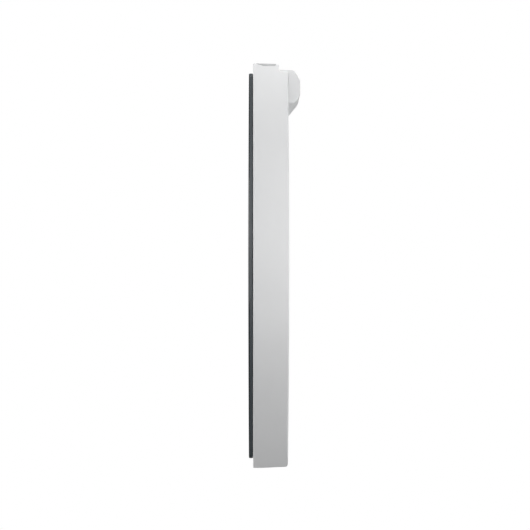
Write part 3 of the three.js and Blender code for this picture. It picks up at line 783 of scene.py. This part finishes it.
def build_studs():
    angles = [math.radians(a) for a in range(-75, 40, 15)]
    ball = [(BALL_R * math.cos(a), BALL_Y + BALL_R * math.sin(a)) for a in angles]
    profile = [(0, BALL_TIP)] + ball + STUD_STEM
    for i, (x, z) in enumerate(STUDS, 1):
        finish(lathe(f"snap_stud_{i}", profile, "y", x, z, 32), "zinc", f"ball_stud_{i}", angle=38)


build_cover()
build_studs()

# ================================================================ top grille
# (y, z, radius)
GRILLE_SECTION = [(-51.6, 1149.5, 0.5), (-51.6, 1148.6, 0.3), (-34.2, 1144.55, 8),
                  (4.6, 1144.15, 0.4), (4.6, 1147.9, 0.6)]
GRILLE_END = [(-44.0, 1148.2, 0), (-43.0, 1147.0, 0.3), (-32.2, 1142.7, 3), (3.5, 1142.4, 0.5),
              (2.3, 1146.2, 0.5), (2.4, 1147.6, 0)]
VENT_PITCH, VENT_HALF_WIDTH, VENTS_PER_SIDE = 14.0, 3, 13
# (z, grow), from above downwards
VENT_STEPS = [(1152, 0.9), (1149.05, 0.9), (1148.75, 0.5), (1148.2, 0.12), (1147.4, 0.0),
              (1140, 0.0)]
# (radius, z)
GRILLE_SCREW_HOLE = [(0, 1140), (2.9, 1140), (2.9, 1146.6), (5.6, 1146.6), (5.6, 1148.4),
                     (6.1, 1149.3), (6.1, 1155), (0, 1155)]
GRILLE_SCREW = [(0, 1137), (2.2, 1137.4), (2.2, 1146.9), (4.6, 1146.9), (4.9, 1147.2),
                (4.9, 1147.9), (4.3, 1148.4), (2.5, 1148.7), (0, 1148.75)]


def build_grille():
    strip = prism("vent_strip", fillet(GRILLE_SECTION, 4), "x", -HALF + 0.15, HALF - 0.15, r=0.5)
    vents = []
    for i in range(-VENTS_PER_SIDE, VENTS_PER_SIDE + 1):
        x = i * VENT_PITCH
        rect = (x - VENT_HALF_WIDTH, x + VENT_HALF_WIDTH, -44, -3)
        vents.append(rect_loft("tool", rect, 2.95, 5, "z", VENT_STEPS))
    cut(strip, *vents)
    cut(strip, *[lathe("tool", GRILLE_SCREW_HOLE, "z", s * GRILLE_SCREW_X, GRILLE_Y, 36)
                 for _, s in SIDES])
    finish(strip, "grille", "top_grille")
    for side, s in SIDES:
        ends = sorted((s * (CHANNEL_END_X + 0.2), s * (HALF - 0.25)))
        lip = prism(f"vent_strip_end_{side}", fillet(GRILLE_END, 3), "x", *ends, r=0.3)
        finish(lip, "grille")
    for side, s in SIDES:
        socket_screw(f"strip_screw_{side}", GRILLE_SCREW, "z", s * GRILLE_SCREW_X, GRILLE_Y, 32,
                     (2.2, 1147.2, 1152), f"grille_screw_{side}")


build_grille()


# ================================================================ hanger hood, hook, rail
def hood_top(y):
    """Height of the hood's top face, which falls gently to the rear."""
    return 1133.0 - (y - 16) / 27


# (y, z, radius)
HOOD_SECTION = [
    (16, hood_top(16), 0.8), (16, 1129.75, 0.4), (rear_y(1122) - 0.6, 1126.1, 1.5),
    (rear_y(1122) + 0.6, 1123.0, 1), (rear_y(1060) + 0.4, 1060, 0),
    (rear_y(1018) + 0.4, 1018.0, 0.8), (48.8, 1028.0, 20), (58.7, 1040.4, 60), (66.4, 1049.4, 26),
    (71.4, 1057.4, 16), (73.8, 1064.5, 14), (73.8, 1101.5, 10), (69.3, 1110.7, 16),
    (63.6, 1120.6, 10), (59.4, 1127.4, 9), (54.0, 1131.0, 12), (43, hood_top(43), 20)]
HOOD_HOLLOW = [
    (48.5, 1121.5, 3), (48.5, 1033.5, 4), (53, 1039.5, 0), (58, 1045.4, 8), (63, 1051.4, 10),
    (67, 1057.5, 6), (69.3, 1063.5, 2), (76, 1065.5, 0), (76, 1102.5, 0), (70, 1102.5, 2),
    (65, 1110, 8), (60.5, 1117.5, 5), (57, 1121.5, 3)]
HOOK_SECTION = [
    (49, 1121, 0.3), (49, 1117.6, 0.3), (59.6, 1117.6, 2), (62.2, 1112.5, 2), (62.2, 1093, 0.6),
    (65, 1093, 0.6), (65, 1109, 4), (60, 1117.4, 5), (57.2, 1121, 1)]
RAIL_SECTION = [
    (74, 1068, 0.5), (74, 1100, 0.5), (71, 1100, 0.5), (71, 1080, 3), (60.6, 1091.5, 5),
    (60.6, 1099, 1), (57.6, 1099, 1), (57.6, 1090.3, 3), (69.6, 1077, 2), (71, 1075.4, 1),
    (71, 1068, 0.5)]
RAIL_HOLE_X, RAIL_HOLE_Z = (-203, -60, 60, 203), 1090
# (radius, y)
RAIL_HOLE = [(0, 68), (4.5, 68), (4.5, 73.4), (5.0, 74.2), (5.0, 80), (0, 80)]
# (radius, height above the head's face)
LOCK_SCREW = [(0, -17), (2.4, -17), (2.8, -16.4), (2.8, -3.4), (5.7, -0.5), (5.7, -0.15),
              (5.5, 0), (0, 0)]


def corner_wedges(outer_x, inner_x):
    """Cutters that slant off the two lower corners."""
    return [prism("tool", [(s * outer_x, 1043), (s * outer_x, 985), (s * inner_x, 985)], "y", 30, 90)
            for _, s in SIDES]


def build_hood():
    hood = prism("hanger_hood_shell", fillet(HOOD_SECTION, 5), "x", -HOOD_X, HOOD_X)
    cut(hood, *corner_wedges(HOOD_X + 3, HOOD_X - 50))
    rounding = add_bevel(hood, "bevel", width=3.6, segments=5, angle=32)
    rounding.use_clamp_overlap = True
    rounding.miter_outer = "MITER_ARC"
    baked(hood)
    hollow = prism("tool", fillet(HOOD_HOLLOW, 3), "x", -HOOD_X + 8, HOOD_X - 8)
    cut(hollow, *corner_wedges(HOOD_X - 6, HOOD_X - 59))
    cut(hood, hollow)
    top = hood_top(LOCK_Y)
    hole = [(0, 1116), (3.6, 1116), (3.6, top - 3.3), (6.5, top - 0.3), (6.9, top + 0.3),
            (6.9, top + 6), (0, top + 6)]
    cut(hood, *[lathe("tool", hole, "z", s * LOCK_X, LOCK_Y, 36) for _, s in SIDES])
    # The hood's darker grey is partly painted shade.
    finish(hood, "trim_painted_shade", "hanger_hood", angle=30)


def build_lock_screws():
    face = hood_top(LOCK_Y) - 0.2
    for side, s in SIDES:
        socket_screw(f"locking_screw_{side}", LOCK_SCREW, "z", s * LOCK_X, LOCK_Y, 36,
                     (2.6, face - 1.6, face + 4), f"lock_screw_{side}", base=face)


def build_hook_and_rail():
    finish(prism("hook_bar", fillet(HOOK_SECTION, 4), "x", -300, 300, r=0.4), "zinc", "hanger_hook")
    rail = prism("rail_bar", fillet(RAIL_SECTION, 4), "x", -315, 315, r=0.5)
    cut(rail, *[lathe("tool", RAIL_HOLE, "y", x, RAIL_HOLE_Z, 36) for x in RAIL_HOLE_X])
    finish(rail, "zinc", "wall_rail")


build_hood()
build_lock_screws()
build_hook_and_rail()

# ================================================================ feet
THREAD_Y0, THREAD_Y1, THREAD_R = -20, 30.6, 8.8
THREAD_DEPTH, THREAD_PITCH = 1.1, 2.5
THREAD_SIDES, ROWS_PER_TURN = 44, 8
HEAD_Y, FLANGE_R = 32.2, 12.6
NECK_R = THREAD_R - 0.2
# (radius, y), neck and round flange
FOOT_HEAD = [(NECK_R, THREAD_Y1 + 0.3), (NECK_R, HEAD_Y), (FLANGE_R - 0.4, HEAD_Y),
             (FLANGE_R, HEAD_Y + 0.35), (FLANGE_R, HEAD_Y + 1.2), (FLANGE_R - 0.4, HEAD_Y + 1.6)]
# (radius, y), a pad with ring grooves on its rear face
FOOT_PAD = [(0, 34.1), (12.4, 34.1), (12.9, 34.5), (13.2, 36.2), (12.9, 37.6), (12.2, 38.2),
            (11.4, 38.4), (10.2, 38.4), (9.8, 37.9), (9.0, 37.9), (8.6, 38.4), (7.0, 38.4),
            (6.6, 37.9), (5.8, 37.9), (5.4, 38.4), (3.6, 38.4), (3.2, 37.9), (0, 37.9)]


def thread_radius(i, k, steps, y):
    """Radius at vertex i of row k: a helical groove that fades at both ends, on a tapered tip."""
    fade = min(1.0, k / (ROWS_PER_TURN * 1.5), (steps - k) / (ROWS_PER_TURN * 0.8))
    phase = (y / THREAD_PITCH - i / THREAD_SIDES) % 1.0
    crest = min(1.0, max(0.0, (abs(2 * phase - 1) - 0.12) / 0.76))
    tip_taper = 1 - min(1.0, k / (ROWS_PER_TURN * 0.8))
    return THREAD_R - THREAD_DEPTH * (1 - crest) * fade - tip_taper


def foot_spindle(name, x, z):
    bm = bmesh.new()
    length = THREAD_Y1 - THREAD_Y0
    steps = int(length / THREAD_PITCH * ROWS_PER_TURN)
    rows = [spin_row(bm, [0], THREAD_Y0, "y", x, z)]
    for k in range(steps + 1):
        y = THREAD_Y0 + length * k / steps
        radii = [thread_radius(i, k, steps, y) for i in range(THREAD_SIDES)]
        rows.append(spin_row(bm, radii, y, "y", x, z))
    rows += [spin_row(bm, [r] * THREAD_SIDES, y, "y", x, z) for r, y in FOOT_HEAD]
    rows.append(spin_row(bm, [0], FOOT_HEAD[-1][1], "y", x, z))
    spin_faces(bm, rows, THREAD_SIDES)
    return link(name, bm)


def build_feet():
    for side, s in SIDES:
        x, body = s * FOOT_X, f"foot_{side}"
        finish(foot_spindle(f"foot_spindle_{side}", x, FOOT_Z), "zinc", f"foot_screw_{side}",
               body=body, angle=30, weighted=False)
        finish(lathe(f"foot_tread_{side}", FOOT_PAD, "y", x, FOOT_Z), "rubber",
               f"foot_pad_{side}", body=body, angle=30)


build_feet()

# ================================================================ controls in the side pocket
# Profiles here are (radius, distance out towards -X from the piece's base).
PLATE_SCREWS = [(y, z) for z in (908, 1052) for y in (-31, 21)]
PLATE_SCREW = [(0, 2.35), (2.6, 2.35), (2.8, 2.6), (2.6, 3.3), (1.6, 3.7), (0, 3.8)]
DIAL_GROOVE = [(21.2, 4), (21.2, 1.7), (22.2, 1.7), (22.2, 4)]
MARK_X0, MARK_X1 = POCKET_FLOOR - 2.42, POCKET_FLOOR - 2.25
DOT_ORBIT, DOT_STEP, DOT_R = 25.2, 15, 0.5
DIAL_BASE, KEY_BASE = POCKET_FLOOR - 3, POCKET_FLOOR - 9
DIAL_DISC = [(0, 0), (19.4, 0), (20, 0.6), (20, 3.2), (19.5, 4.4), (18.6, 5.0), (0, 5.0)]
DIAL_SHAFT = [(0, 1), (5, 1), (5, -19.6), (4.6, -20), (0, -20)]
# (distance out, grow)
DIAL_GRIP = [(4.0, 1.6), (5.0, 1.6), (5.5, 0.7), (6.6, 0.1), (12.0, -0.3), (13.0, -0.8),
             (13.4, -1.8)]
KEY_BEZEL = [(10.5, 2.6), (13.7, 2.6), (14, 2.9), (14, 5.0), (13.4, 6.0), (12.2, 6.5),
             (11.2, 6.3), (10.5, 5.6)]
KEY_CAP = [(0, 0.55), (3, 0.6), (6.6, 0.95), (7.8, 0.9), (8.7, 0.3), (9, -0.7), (9, -15.6),
           (8.6, -16), (0, -16)]


def build_control_plate():
    plate = prism("control_panel", rrect(POCKET, POCKET_R, 8, -1), "x",
                  POCKET_FLOOR - 2.3, POCKET_FLOOR - 0.3, r=0.5)
    cut(plate, rod("x", 5.6, -365, -345, DIAL_Y, DIAL_Z), rod("x", 10.3, -365, -345, KEY_Y, KEY_Z))
    cut(plate, lathe("tool", DIAL_GROOVE, "x", DIAL_Y, DIAL_Z, 64, POCKET_FLOOR, -1))
    finish(plate, "plate", "control_plate")
    for i, (y, z) in enumerate(PLATE_SCREWS, 1):
        socket_screw(f"panel_screw_{i}", PLATE_SCREW, "x", y, z, 28,
                     (1.15, POCKET_FLOOR - 5, POCKET_FLOOR - 3.0), base=POCKET_FLOOR, out=-1)


def mark_prism(name, outline):
    finish(prism(name, outline, "x", MARK_X0, MARK_X1), "mark")


def open_ring(y, z, r, width, gap):
    """Outline of a ring with a gap in degrees at its top."""
    angles = [math.radians(90 + gap / 2 + (360 - gap) * i / 40) for i in range(41)]
    outer, inner = [[(y + q * math.cos(a), z + q * math.sin(a)) for a in angles]
                    for q in (r, r - width)]
    return outer + inner[::-1]


def build_marks():
    """Printed marks: bar, dots and ring about the dial, open ring with a bar under the button."""
    mark_prism("mark_on", rrect(about(DIAL_Y, DIAL_Z + 27.9, 0.55, 2.7), 0.5, 4))
    ring = [(1.7, MARK_X0), (2.7, MARK_X0), (2.7, MARK_X1), (1.7, MARK_X1)]
    finish(lathe("mark_off", ring, "x", DIAL_Y + 27.4, DIAL_Z, 40), "mark")
    disc = [(0, MARK_X0), (DOT_R, MARK_X0), (DOT_R, MARK_X1), (0, MARK_X1)]
    for i in range(1, 6):
        a = math.radians(90 - DOT_STEP * i)
        finish(lathe(f"mark_dot_{i}", disc, "x", DIAL_Y + DOT_ORBIT * math.cos(a),
                     DIAL_Z + DOT_ORBIT * math.sin(a), 16), "mark")
    mark_prism("mark_power_ring", open_ring(KEY_Y, KEY_Z - 22.5, r=3.2, width=0.9, gap=70))
    mark_prism("mark_power_bar", rrect((KEY_Y - 0.45, KEY_Y + 0.45, 917.9, 921.8), 0.4, 3))


def build_dial():
    dial = lathe("dial_knob", DIAL_DISC, "x", DIAL_Y, DIAL_Z, 72, DIAL_BASE, -1)
    cut(dial, *[rod("x", 0.9, DIAL_BASE - 6, DIAL_BASE - 1.0, y, z, 12)
                for y, z in circle(DIAL_Y, DIAL_Z, 20.4, 24)])
    grip = rect_loft("tool", about(DIAL_Y, DIAL_Z, 4.5, 17), 4.2, 8, "x",
                     [(DIAL_BASE - d, grow) for d, grow in DIAL_GRIP])
    fuse(dial, grip, lathe("tool", DIAL_SHAFT, "x", DIAL_Y, DIAL_Z, 36, DIAL_BASE, -1))
    slot = (DIAL_Y - 0.8, DIAL_Y + 0.8, DIAL_Z + 4, DIAL_Z + 14.5)
    cut(dial, prism("tool", rrect(slot, 0.7, 4), "x", DIAL_BASE - 15, DIAL_BASE - 12.8))
    finish(dial, "red", "isolator_knob", body="isolator_dial", angle=30)
    inlay = (DIAL_Y - 0.65, DIAL_Y + 0.65, DIAL_Z + 4.2, DIAL_Z + 14.3)
    line = prism("dial_line", rrect(inlay, 0.55, 4), "x", DIAL_BASE - 13.2, DIAL_BASE - 12.85, r=0.1)
    # The pointer line takes the glowing lens finish and shines faintly green: a painted glow, because
    # the line is no lamp.
    finish(line, "lens", body="isolator_dial")


def build_button():
    finish(lathe("key_bezel", KEY_BEZEL, "x", KEY_Y, KEY_Z, 64, POCKET_FLOOR, -1),
           "zinc", "button_bezel")
    finish(lathe("power_cap", KEY_CAP, "x", KEY_Y, KEY_Z, 56, KEY_BASE, -1),
           "grey", "power_button", body="power_key")


build_control_plate()
build_marks()
build_dial()
build_button()

# ================================================================ cable entry
GLANDS_X, GLAND_Y = (-185, -115), -10
ENTRY_SCREWS = [(x, y) for y in (-29, 9) for x in (-217, -83)]
# (radius, z)
ENTRY_SCREW = [(0, 26.75), (3.0, 26.75), (3.3, 26.4), (3.2, 25.4), (2.2, 24.6), (0, 24.4)]
GLAND_BODY = [(0, 4.0), (8.9, 4.0), (9.7, 4.4), (12.0, 7.6), (13.0, 9.6), (13.4, 12.5),
              (13.5, 18.0), (13.2, 18.6), (12.0, 19), (12.0, 41.5), (11.5, 42), (0, 42)]
GLAND_SEAL = [(4.6, 5.0), (5.4, 4.5), (6.4, 4.6), (6.8, 5.2), (6.8, 17.5), (6.2, 18), (4.6, 18),
              (4.2, 17), (4.2, 6)]
GLAND_HEXES = ((18.4, 26.2), (34.3, 39.1))      # z ranges below and above the plate


def chamfered_hex(x, z0, z1):
    nut = prism("tool", circle(x, GLAND_Y, 16, 6, turn=math.pi / 6), "z", z0, z1)
    cone = [(0, z0 - 1), (14.0, z0 - 1), (14.0, z0), (16.3, z0 + 1.5), (16.3, z1 - 1.5),
            (14.0, z1), (14.0, z1 + 1), (0, z1 + 1)]
    boolean(nut, [lathe("tool", cone, "z", x, GLAND_Y)], "INTERSECT")
    return nut


def build_entry():
    plate = prism("entry_plate", rrect(BAY, BAY_R, 6, -4), "z", 26.8, 29.6, r=0.4)
    cut(plate, *[rod("z", 12.4, 20, 35, x, GLAND_Y) for x in GLANDS_X])
    finish(plate, "zinc", "gland_plate")
    for i, (x, y) in enumerate(ENTRY_SCREWS, 1):
        socket_screw(f"entry_screw_{i}", ENTRY_SCREW, "z", x, y, 28, (1.3, 20, 25.3))
    for i, x in enumerate(GLANDS_X, 1):
        gland = lathe(f"gland_nut_{i}", GLAND_BODY, "z", x, GLAND_Y, 64)
        cut(gland, *[rod("z", 1.5, 3, 17.2, u, v, 14) for u, v in circle(x, GLAND_Y, 14.2, 12)])
        fuse(gland, *[chamfered_hex(x, z0, z1) for z0, z1 in GLAND_HEXES])
        cut(gland, rod("z", 7.0, -5, 60, x, GLAND_Y))
        finish(gland, "black", f"cable_gland_{i}", angle=30)
        finish(lathe(f"gland_seal_{i}", GLAND_SEAL, "z", x, GLAND_Y, 40), "rubber")


build_entry()

# ================================================================ fans
FANS = (("left", 70), ("right", 170))
FAN_Z, FAN_HEIGHT, FAN_HALF, FAN_HOLE_AT = 1126.0, 15, 25, 20.5
BLADES, BLADE_ROOT, BLADE_TIP = 7, 9.6, 22.3
BLADE_ROWS, BLADE_COLUMNS = 6, 8
# (radius, height above the fan's underside)
FAN_BORE = [(0, -3), (24.4, -3), (24.4, 0), (23.6, 1.6), (23.6, 13.4), (24.4, 15), (24.4, 18),
            (0, 18)]
FAN_HUB = [(0, 0), (9.6, 0), (10, 0.4), (10, 1.8), (9.8, 2), (0, 2)]
ROTOR_HUB = [(0, 2.6), (10.1, 2.6), (10.5, 3.0), (10.5, 11.6), (10.1, 12.6), (9.2, 13), (0, 13)]
FAN_ARM = [(8, -1.6), (24.2, -1.6), (24.2, 1.6), (8, 1.6)]      # (outward, across)


def fan_arm(cx, cy, angle):
    c, s = math.cos(angle), math.sin(angle)
    outline = [(cx + u * c - v * s, cy + u * s + v * c) for u, v in FAN_ARM]
    return prism("tool", outline, "z", FAN_Z + 0.05, FAN_Z + 1.95)


def fan_blade(cx, cy, index):
    """A twisted, cambered blade: lower skin (0) and upper skin (1) on a grid, closed all round."""
    bm = bmesh.new()
    rows, columns = BLADE_ROWS, BLADE_COLUMNS
    span = BLADE_TIP - BLADE_ROOT
    grid = {}
    for skin in (0, 1):
        for i in range(rows + 1):
            r = BLADE_ROOT + span * i / rows
            sweep = 0.16 * (r - BLADE_ROOT) / span
            for j in range(columns + 1):
                u = j / columns
                chord = 0.62 + 0.05 * i / rows
                a = 2 * math.pi * index / BLADES + (u - 0.5) * chord + sweep
                camber = math.sin(math.pi * u)
                z = FAN_Z + 7.8 + (u - 0.5) * 7.6 - 1.1 * camber
                half_thick = 0.35 + 0.35 * camber
                z += half_thick if skin else -half_thick
                grid[skin, i, j] = bm.verts.new((cx + r * math.cos(a), cy + r * math.sin(a), z))

    def face(*keys):
        bm.faces.new([grid[key] for key in keys])

    for i in range(rows):
        for j in range(columns):
            face((1, i, j), (1, i + 1, j), (1, i + 1, j + 1), (1, i, j + 1))
            face((0, i, j + 1), (0, i + 1, j + 1), (0, i + 1, j), (0, i, j))
    for i in range(rows):
        face((0, i, 0), (0, i + 1, 0), (1, i + 1, 0), (1, i, 0))
        face((1, i, columns), (1, i + 1, columns), (0, i + 1, columns), (0, i, columns))
    for j in range(columns):
        face((0, 0, j + 1), (0, 0, j), (1, 0, j), (1, 0, j + 1))
        face((0, rows, j), (0, rows, j + 1), (1, rows, j + 1), (1, rows, j))
    return link("tool", bm)


def build_fans():
    cy = GRILLE_Y
    for side, cx in FANS:
        casing = prism(f"fan_casing_{side}", rrect(about(cx, cy, FAN_HALF, FAN_HALF), 4), "z",
                       FAN_Z, FAN_Z + FAN_HEIGHT, r=0.5)
        holes = [rod("z", 1.7, FAN_Z - 2, FAN_Z + 20, cx + sx * FAN_HOLE_AT, cy + sy * FAN_HOLE_AT, 20)
                 for sx in (-1, 1) for sy in (-1, 1)]
        cut(casing, lathe("tool", FAN_BORE, "z", cx, cy, 64, FAN_Z), *holes)
        fuse(casing, lathe("tool", FAN_HUB, "z", cx, cy, 40, FAN_Z),
             *[fan_arm(cx, cy, i * 2 * math.pi / 3) for i in range(3)])
        finish(casing, "black", f"fan_frame_{side}")
        rotor = lathe(f"fan_impeller_{side}", ROTOR_HUB, "z", cx, cy, base=FAN_Z)
        fuse(rotor, *[fan_blade(cx, cy, i) for i in range(BLADES)])
        finish(rotor, "black", f"fan_rotor_{side}", body=f"fan_wheel_{side}", angle=35)


build_fans()

# ================================================================ CAD pieces kept inside the case
INSIDE = {
    "module": "battery_module_1 battery_module_2 battery_module_3 battery_module_4",
    "zinc": "clamp_rail_lower clamp_rail_upper",
    "copper": "busbar_link_lower busbar_link_upper busbar_link_side filter_choke",
    "alloy": "bulkhead heatsink",
    "board": "power_board comms_board bms_board",
    "black": "capacitor_1 capacitor_2 contactor_body breaker_lever",
    "grey": "terminal_block contactor_core main_fuse breaker_body isolator_body",
    "orange": "cable_positive",
    "rubber": "cable_negative",
}


def dress_inside():
    for look, names in INSIDE.items():
        for name in names.split():
            o = NODES[name]
            slots = o.data.materials
            for i in range(len(slots)):
                slots[i] = MAT[look]
            if len(slots) == 0:
                slots.append(MAT[look])
            add_bevel(o, "edge", width=0.5, segments=2, angle=50)


dress_inside()

# ================================================================ stage, light, camera (metres)
ROOM_LIGHT, MIRROR_LIGHT = 0.15, 0.5    # strength of the room for light and for reflections
FLOOR_Z, FLOOR_HALF = -0.55, 7
FLOOR_GLOSS = 0.8                       # share of the bright edge that reflections see
CAMERA_DISTANCE, FIELD_WIDTH, SENSOR = 13.0, 1.50626, 36

# (name, location, aimed at, (width, height), watts, seen in reflections, lights surfaces)
# low and high soft boxes give the right side wall its fade from top to bottom
AREA_LIGHTS = [
    ("side_low", (1.0, 0.28, 0.65), (0.375, 0.0, 0.45), (1.2, 0.4), 3.05, True, True),
    ("side_high", (0.8, 0.15, 1.7), (0.3, 0.03, 1.7), (1.2, 0.4), 6.2, True, True),
    ("side_mid", (1.1, 0.45, 0.85), (0.375, 0.0, 0.85), (1.0, 0.9), 1.42, True, True),
    ("side_edge", (0.6, 0.1, 1.45), (0.375, 0.0, 1.1), (0.6, 0.2), 0.65, True, True),
    ("side_shine", (2.4, -0.06, 1.06), (0.375, -0.06, 1.06), (0.9, 0.85), 3.6, True, False),
    ("under_back", (0.0, 1.7, -0.2), (0, 0.05, 1.0), (2.0, 0.6), 7.5, True, True),
    ("fill_left", (-2.4, 0.2, 1.25), (-0.3, 0, 0.65), (1.8, 1.6), 24, False, True),
    ("front_soft", (0.6, -2.8, 1.35), (0, 0, 0.6), (2.2, 1.8), 58, False, True),
    ("back_soft", (-0.5, 2.9, 1.45), (0, 0, 0.6), (2.2, 1.8), 26, False, True),
    ("top", (-0.2, 0, 2.9), (0, 0, 1.0), (2.0, 2.0), 5, True, True),
]


def by_ray(nt, out, lit, mirrored, seen, glossy_share=None):
    """Shows one shader to the camera, one to reflections and one to all other light."""
    rays = node(nt, "LightPath").outputs
    indirect, final = node(nt, "MixShader"), node(nt, "MixShader")
    glossy = rays["Is Glossy Ray"]
    if glossy_share is not None:
        glossy = node(nt, "Math", {0: glossy, 1: glossy_share}, operation="MULTIPLY").outputs[0]
    wire(indirect, {0: glossy, 1: lit.outputs[0], 2: mirrored.outputs[0]})
    wire(final, {0: rays["Is Camera Ray"], 1: indirect.outputs[0], 2: seen.outputs[0]})
    wire(out, {"Surface": final.outputs[0]})


def floor_material():
    """White to the camera. To the light, a grey that darkens with distance, a painted falloff of the
    floor's bounce light.
    A soft slanting edge of light to whatever mirrors it."""
    mat = bpy.data.materials.new("pale_floor")
    mat.use_nodes = True
    nt = mat.node_tree
    nt.nodes.clear()
    out = node(nt, "OutputMaterial")
    position = node(nt, "NewGeometry").outputs["Position"]
    distance = node(nt, "VectorMath", {0: position}, operation="LENGTH").outputs["Value"]
    # painted falloff: the floor's colour for light darkens with distance from the middle
    fade = ramp(nt, [(0.0, 0.62), (0.35, (0.46, 0.46, 0.465)), (1.0, (0.16, 0.165, 0.17))])
    wire(fade, {"Fac": remap(nt, distance, source=(0.8, 4.2), target=(0, 1))})
    diffuse = node(nt, "BsdfDiffuse", {"Color": fade.outputs["Color"]})
    edge = node(nt, "Emission")
    slant = dot(nt, position, (1.0, -0.62, 0))
    wire(edge, {"Strength": remap(nt, slant, source=(-1.15, -0.35), target=(1.15, 0.12),
                                  blend="SMOOTHSTEP")})
    white = node(nt, "Emission")
    by_ray(nt, out, lit=diffuse, mirrored=edge, seen=white, glossy_share=FLOOR_GLOSS)
    return mat


def build_floor():
    mat = floor_material()
    bm = bmesh.new()
    bmesh.ops.create_grid(bm, x_segments=8, y_segments=8, size=FLOOR_HALF)
    mesh = bpy.data.meshes.new("floor")
    bm.to_mesh(mesh)
    bm.free()
    floor = bpy.data.objects.new("floor", mesh)
    floor.location = (0, 0, FLOOR_Z)
    mesh.materials.append(mat)
    COL.objects.link(floor)


def build_world():
    """White behind the object, a dim grey for light, a brighter soft-edged studio in mirrors."""
    world = bpy.data.worlds.new("studio")
    scene.world = world
    world.use_nodes = True
    nt = world.node_tree
    nt.nodes.clear()
    out = node(nt, "OutputWorld")
    way = node(nt, "TexCoord").outputs["Generated"]
    split = node(nt, "SeparateXYZ", {0: way}).outputs
    backdrop = node(nt, "Background", {"Color": (1, 1, 1, 1)})
    room = node(nt, "Background", {"Strength": ROOM_LIGHT})
    mirror = node(nt, "Background", {"Strength": MIRROR_LIGHT})
    sky = ramp(nt, [(0.0, (0.30, 0.30, 0.305)), (0.47, (0.55, 0.555, 0.56)), (0.60, 0.95),
                    (1.0, 1.25)])
    wire(sky, {"Fac": remap(nt, split["Z"], source=(-1, 1), target=(0, 1))})
    wire(room, {"Color": sky.outputs["Color"]})
    # mirrors: bright above the horizon, dark below, and a slanting edge towards the front
    bands = ramp(nt, [(0.0, (0.12, 0.12, 0.125)), (0.44, (0.20, 0.20, 0.205)), (0.52, 0.55),
                      (0.66, 1.5), (0.80, 1.2), (1.0, 0.5)])
    wire(bands, {"Fac": remap(nt, split["Z"], source=(-1, 1), target=(0, 1))})
    slant = remap(nt, dot(nt, way, (-0.86, 0, 0.5)), source=(-0.075, 0.03), target=(0.25, 2.6),
                  blend="SMOOTHERSTEP")
    ahead = remap(nt, split["Y"], source=(-0.985, -0.90), target=(1, 0), blend="SMOOTHSTEP")
    tint = node(nt, "Mix", data_type="RGBA")
    grey = node(nt, "CombineColor", {0: slant, 1: slant, 2: slant})
    wire(tint, {0: ahead, 6: bands.outputs["Color"], 7: grey.outputs[0]})
    wire(mirror, {"Color": tint.outputs[2]})
    by_ray(nt, out, lit=room, mirrored=mirror, seen=backdrop)


def build_lights():
    for name, location, aim, size, watts, mirrored, diffuse in AREA_LIGHTS:
        light = bpy.data.lights.new(name, "AREA")
        light.shape = "RECTANGLE"
        light.size, light.size_y = size
        light.energy = watts
        o = bpy.data.objects.new(name, light)
        o.location = location
        o.rotation_mode = "QUATERNION"
        o.rotation_quaternion = (Vector(aim) - Vector(location)).to_track_quat("-Z", "Y")
        o.visible_camera = False
        o.visible_glossy = mirrored
        o.visible_diffuse = diffuse
        COL.objects.link(o)


def build_camera():
    """A long lens looking straight at the right side wall."""
    camera = bpy.data.cameras.new("camera")
    camera.sensor_width = SENSOR
    camera.lens = SENSOR * CAMERA_DISTANCE / FIELD_WIDTH
    camera.clip_end = 200
    o = bpy.data.objects.new("camera", camera)
    o.location = (HALF * MM + CAMERA_DISTANCE, -0.0263, 0.5766)
    o.rotation_mode = "QUATERNION"
    o.rotation_quaternion = Vector((-1, 0, 0)).to_track_quat("-Z", "Y")
    COL.objects.link(o)
    scene.camera = o
    scene.view_settings.view_transform = "Standard"
    scene.view_settings.look = "None"
    scene.view_settings.exposure = 0
    scene.view_settings.gamma = 1


build_floor()
build_world()
build_lights()
build_camera()
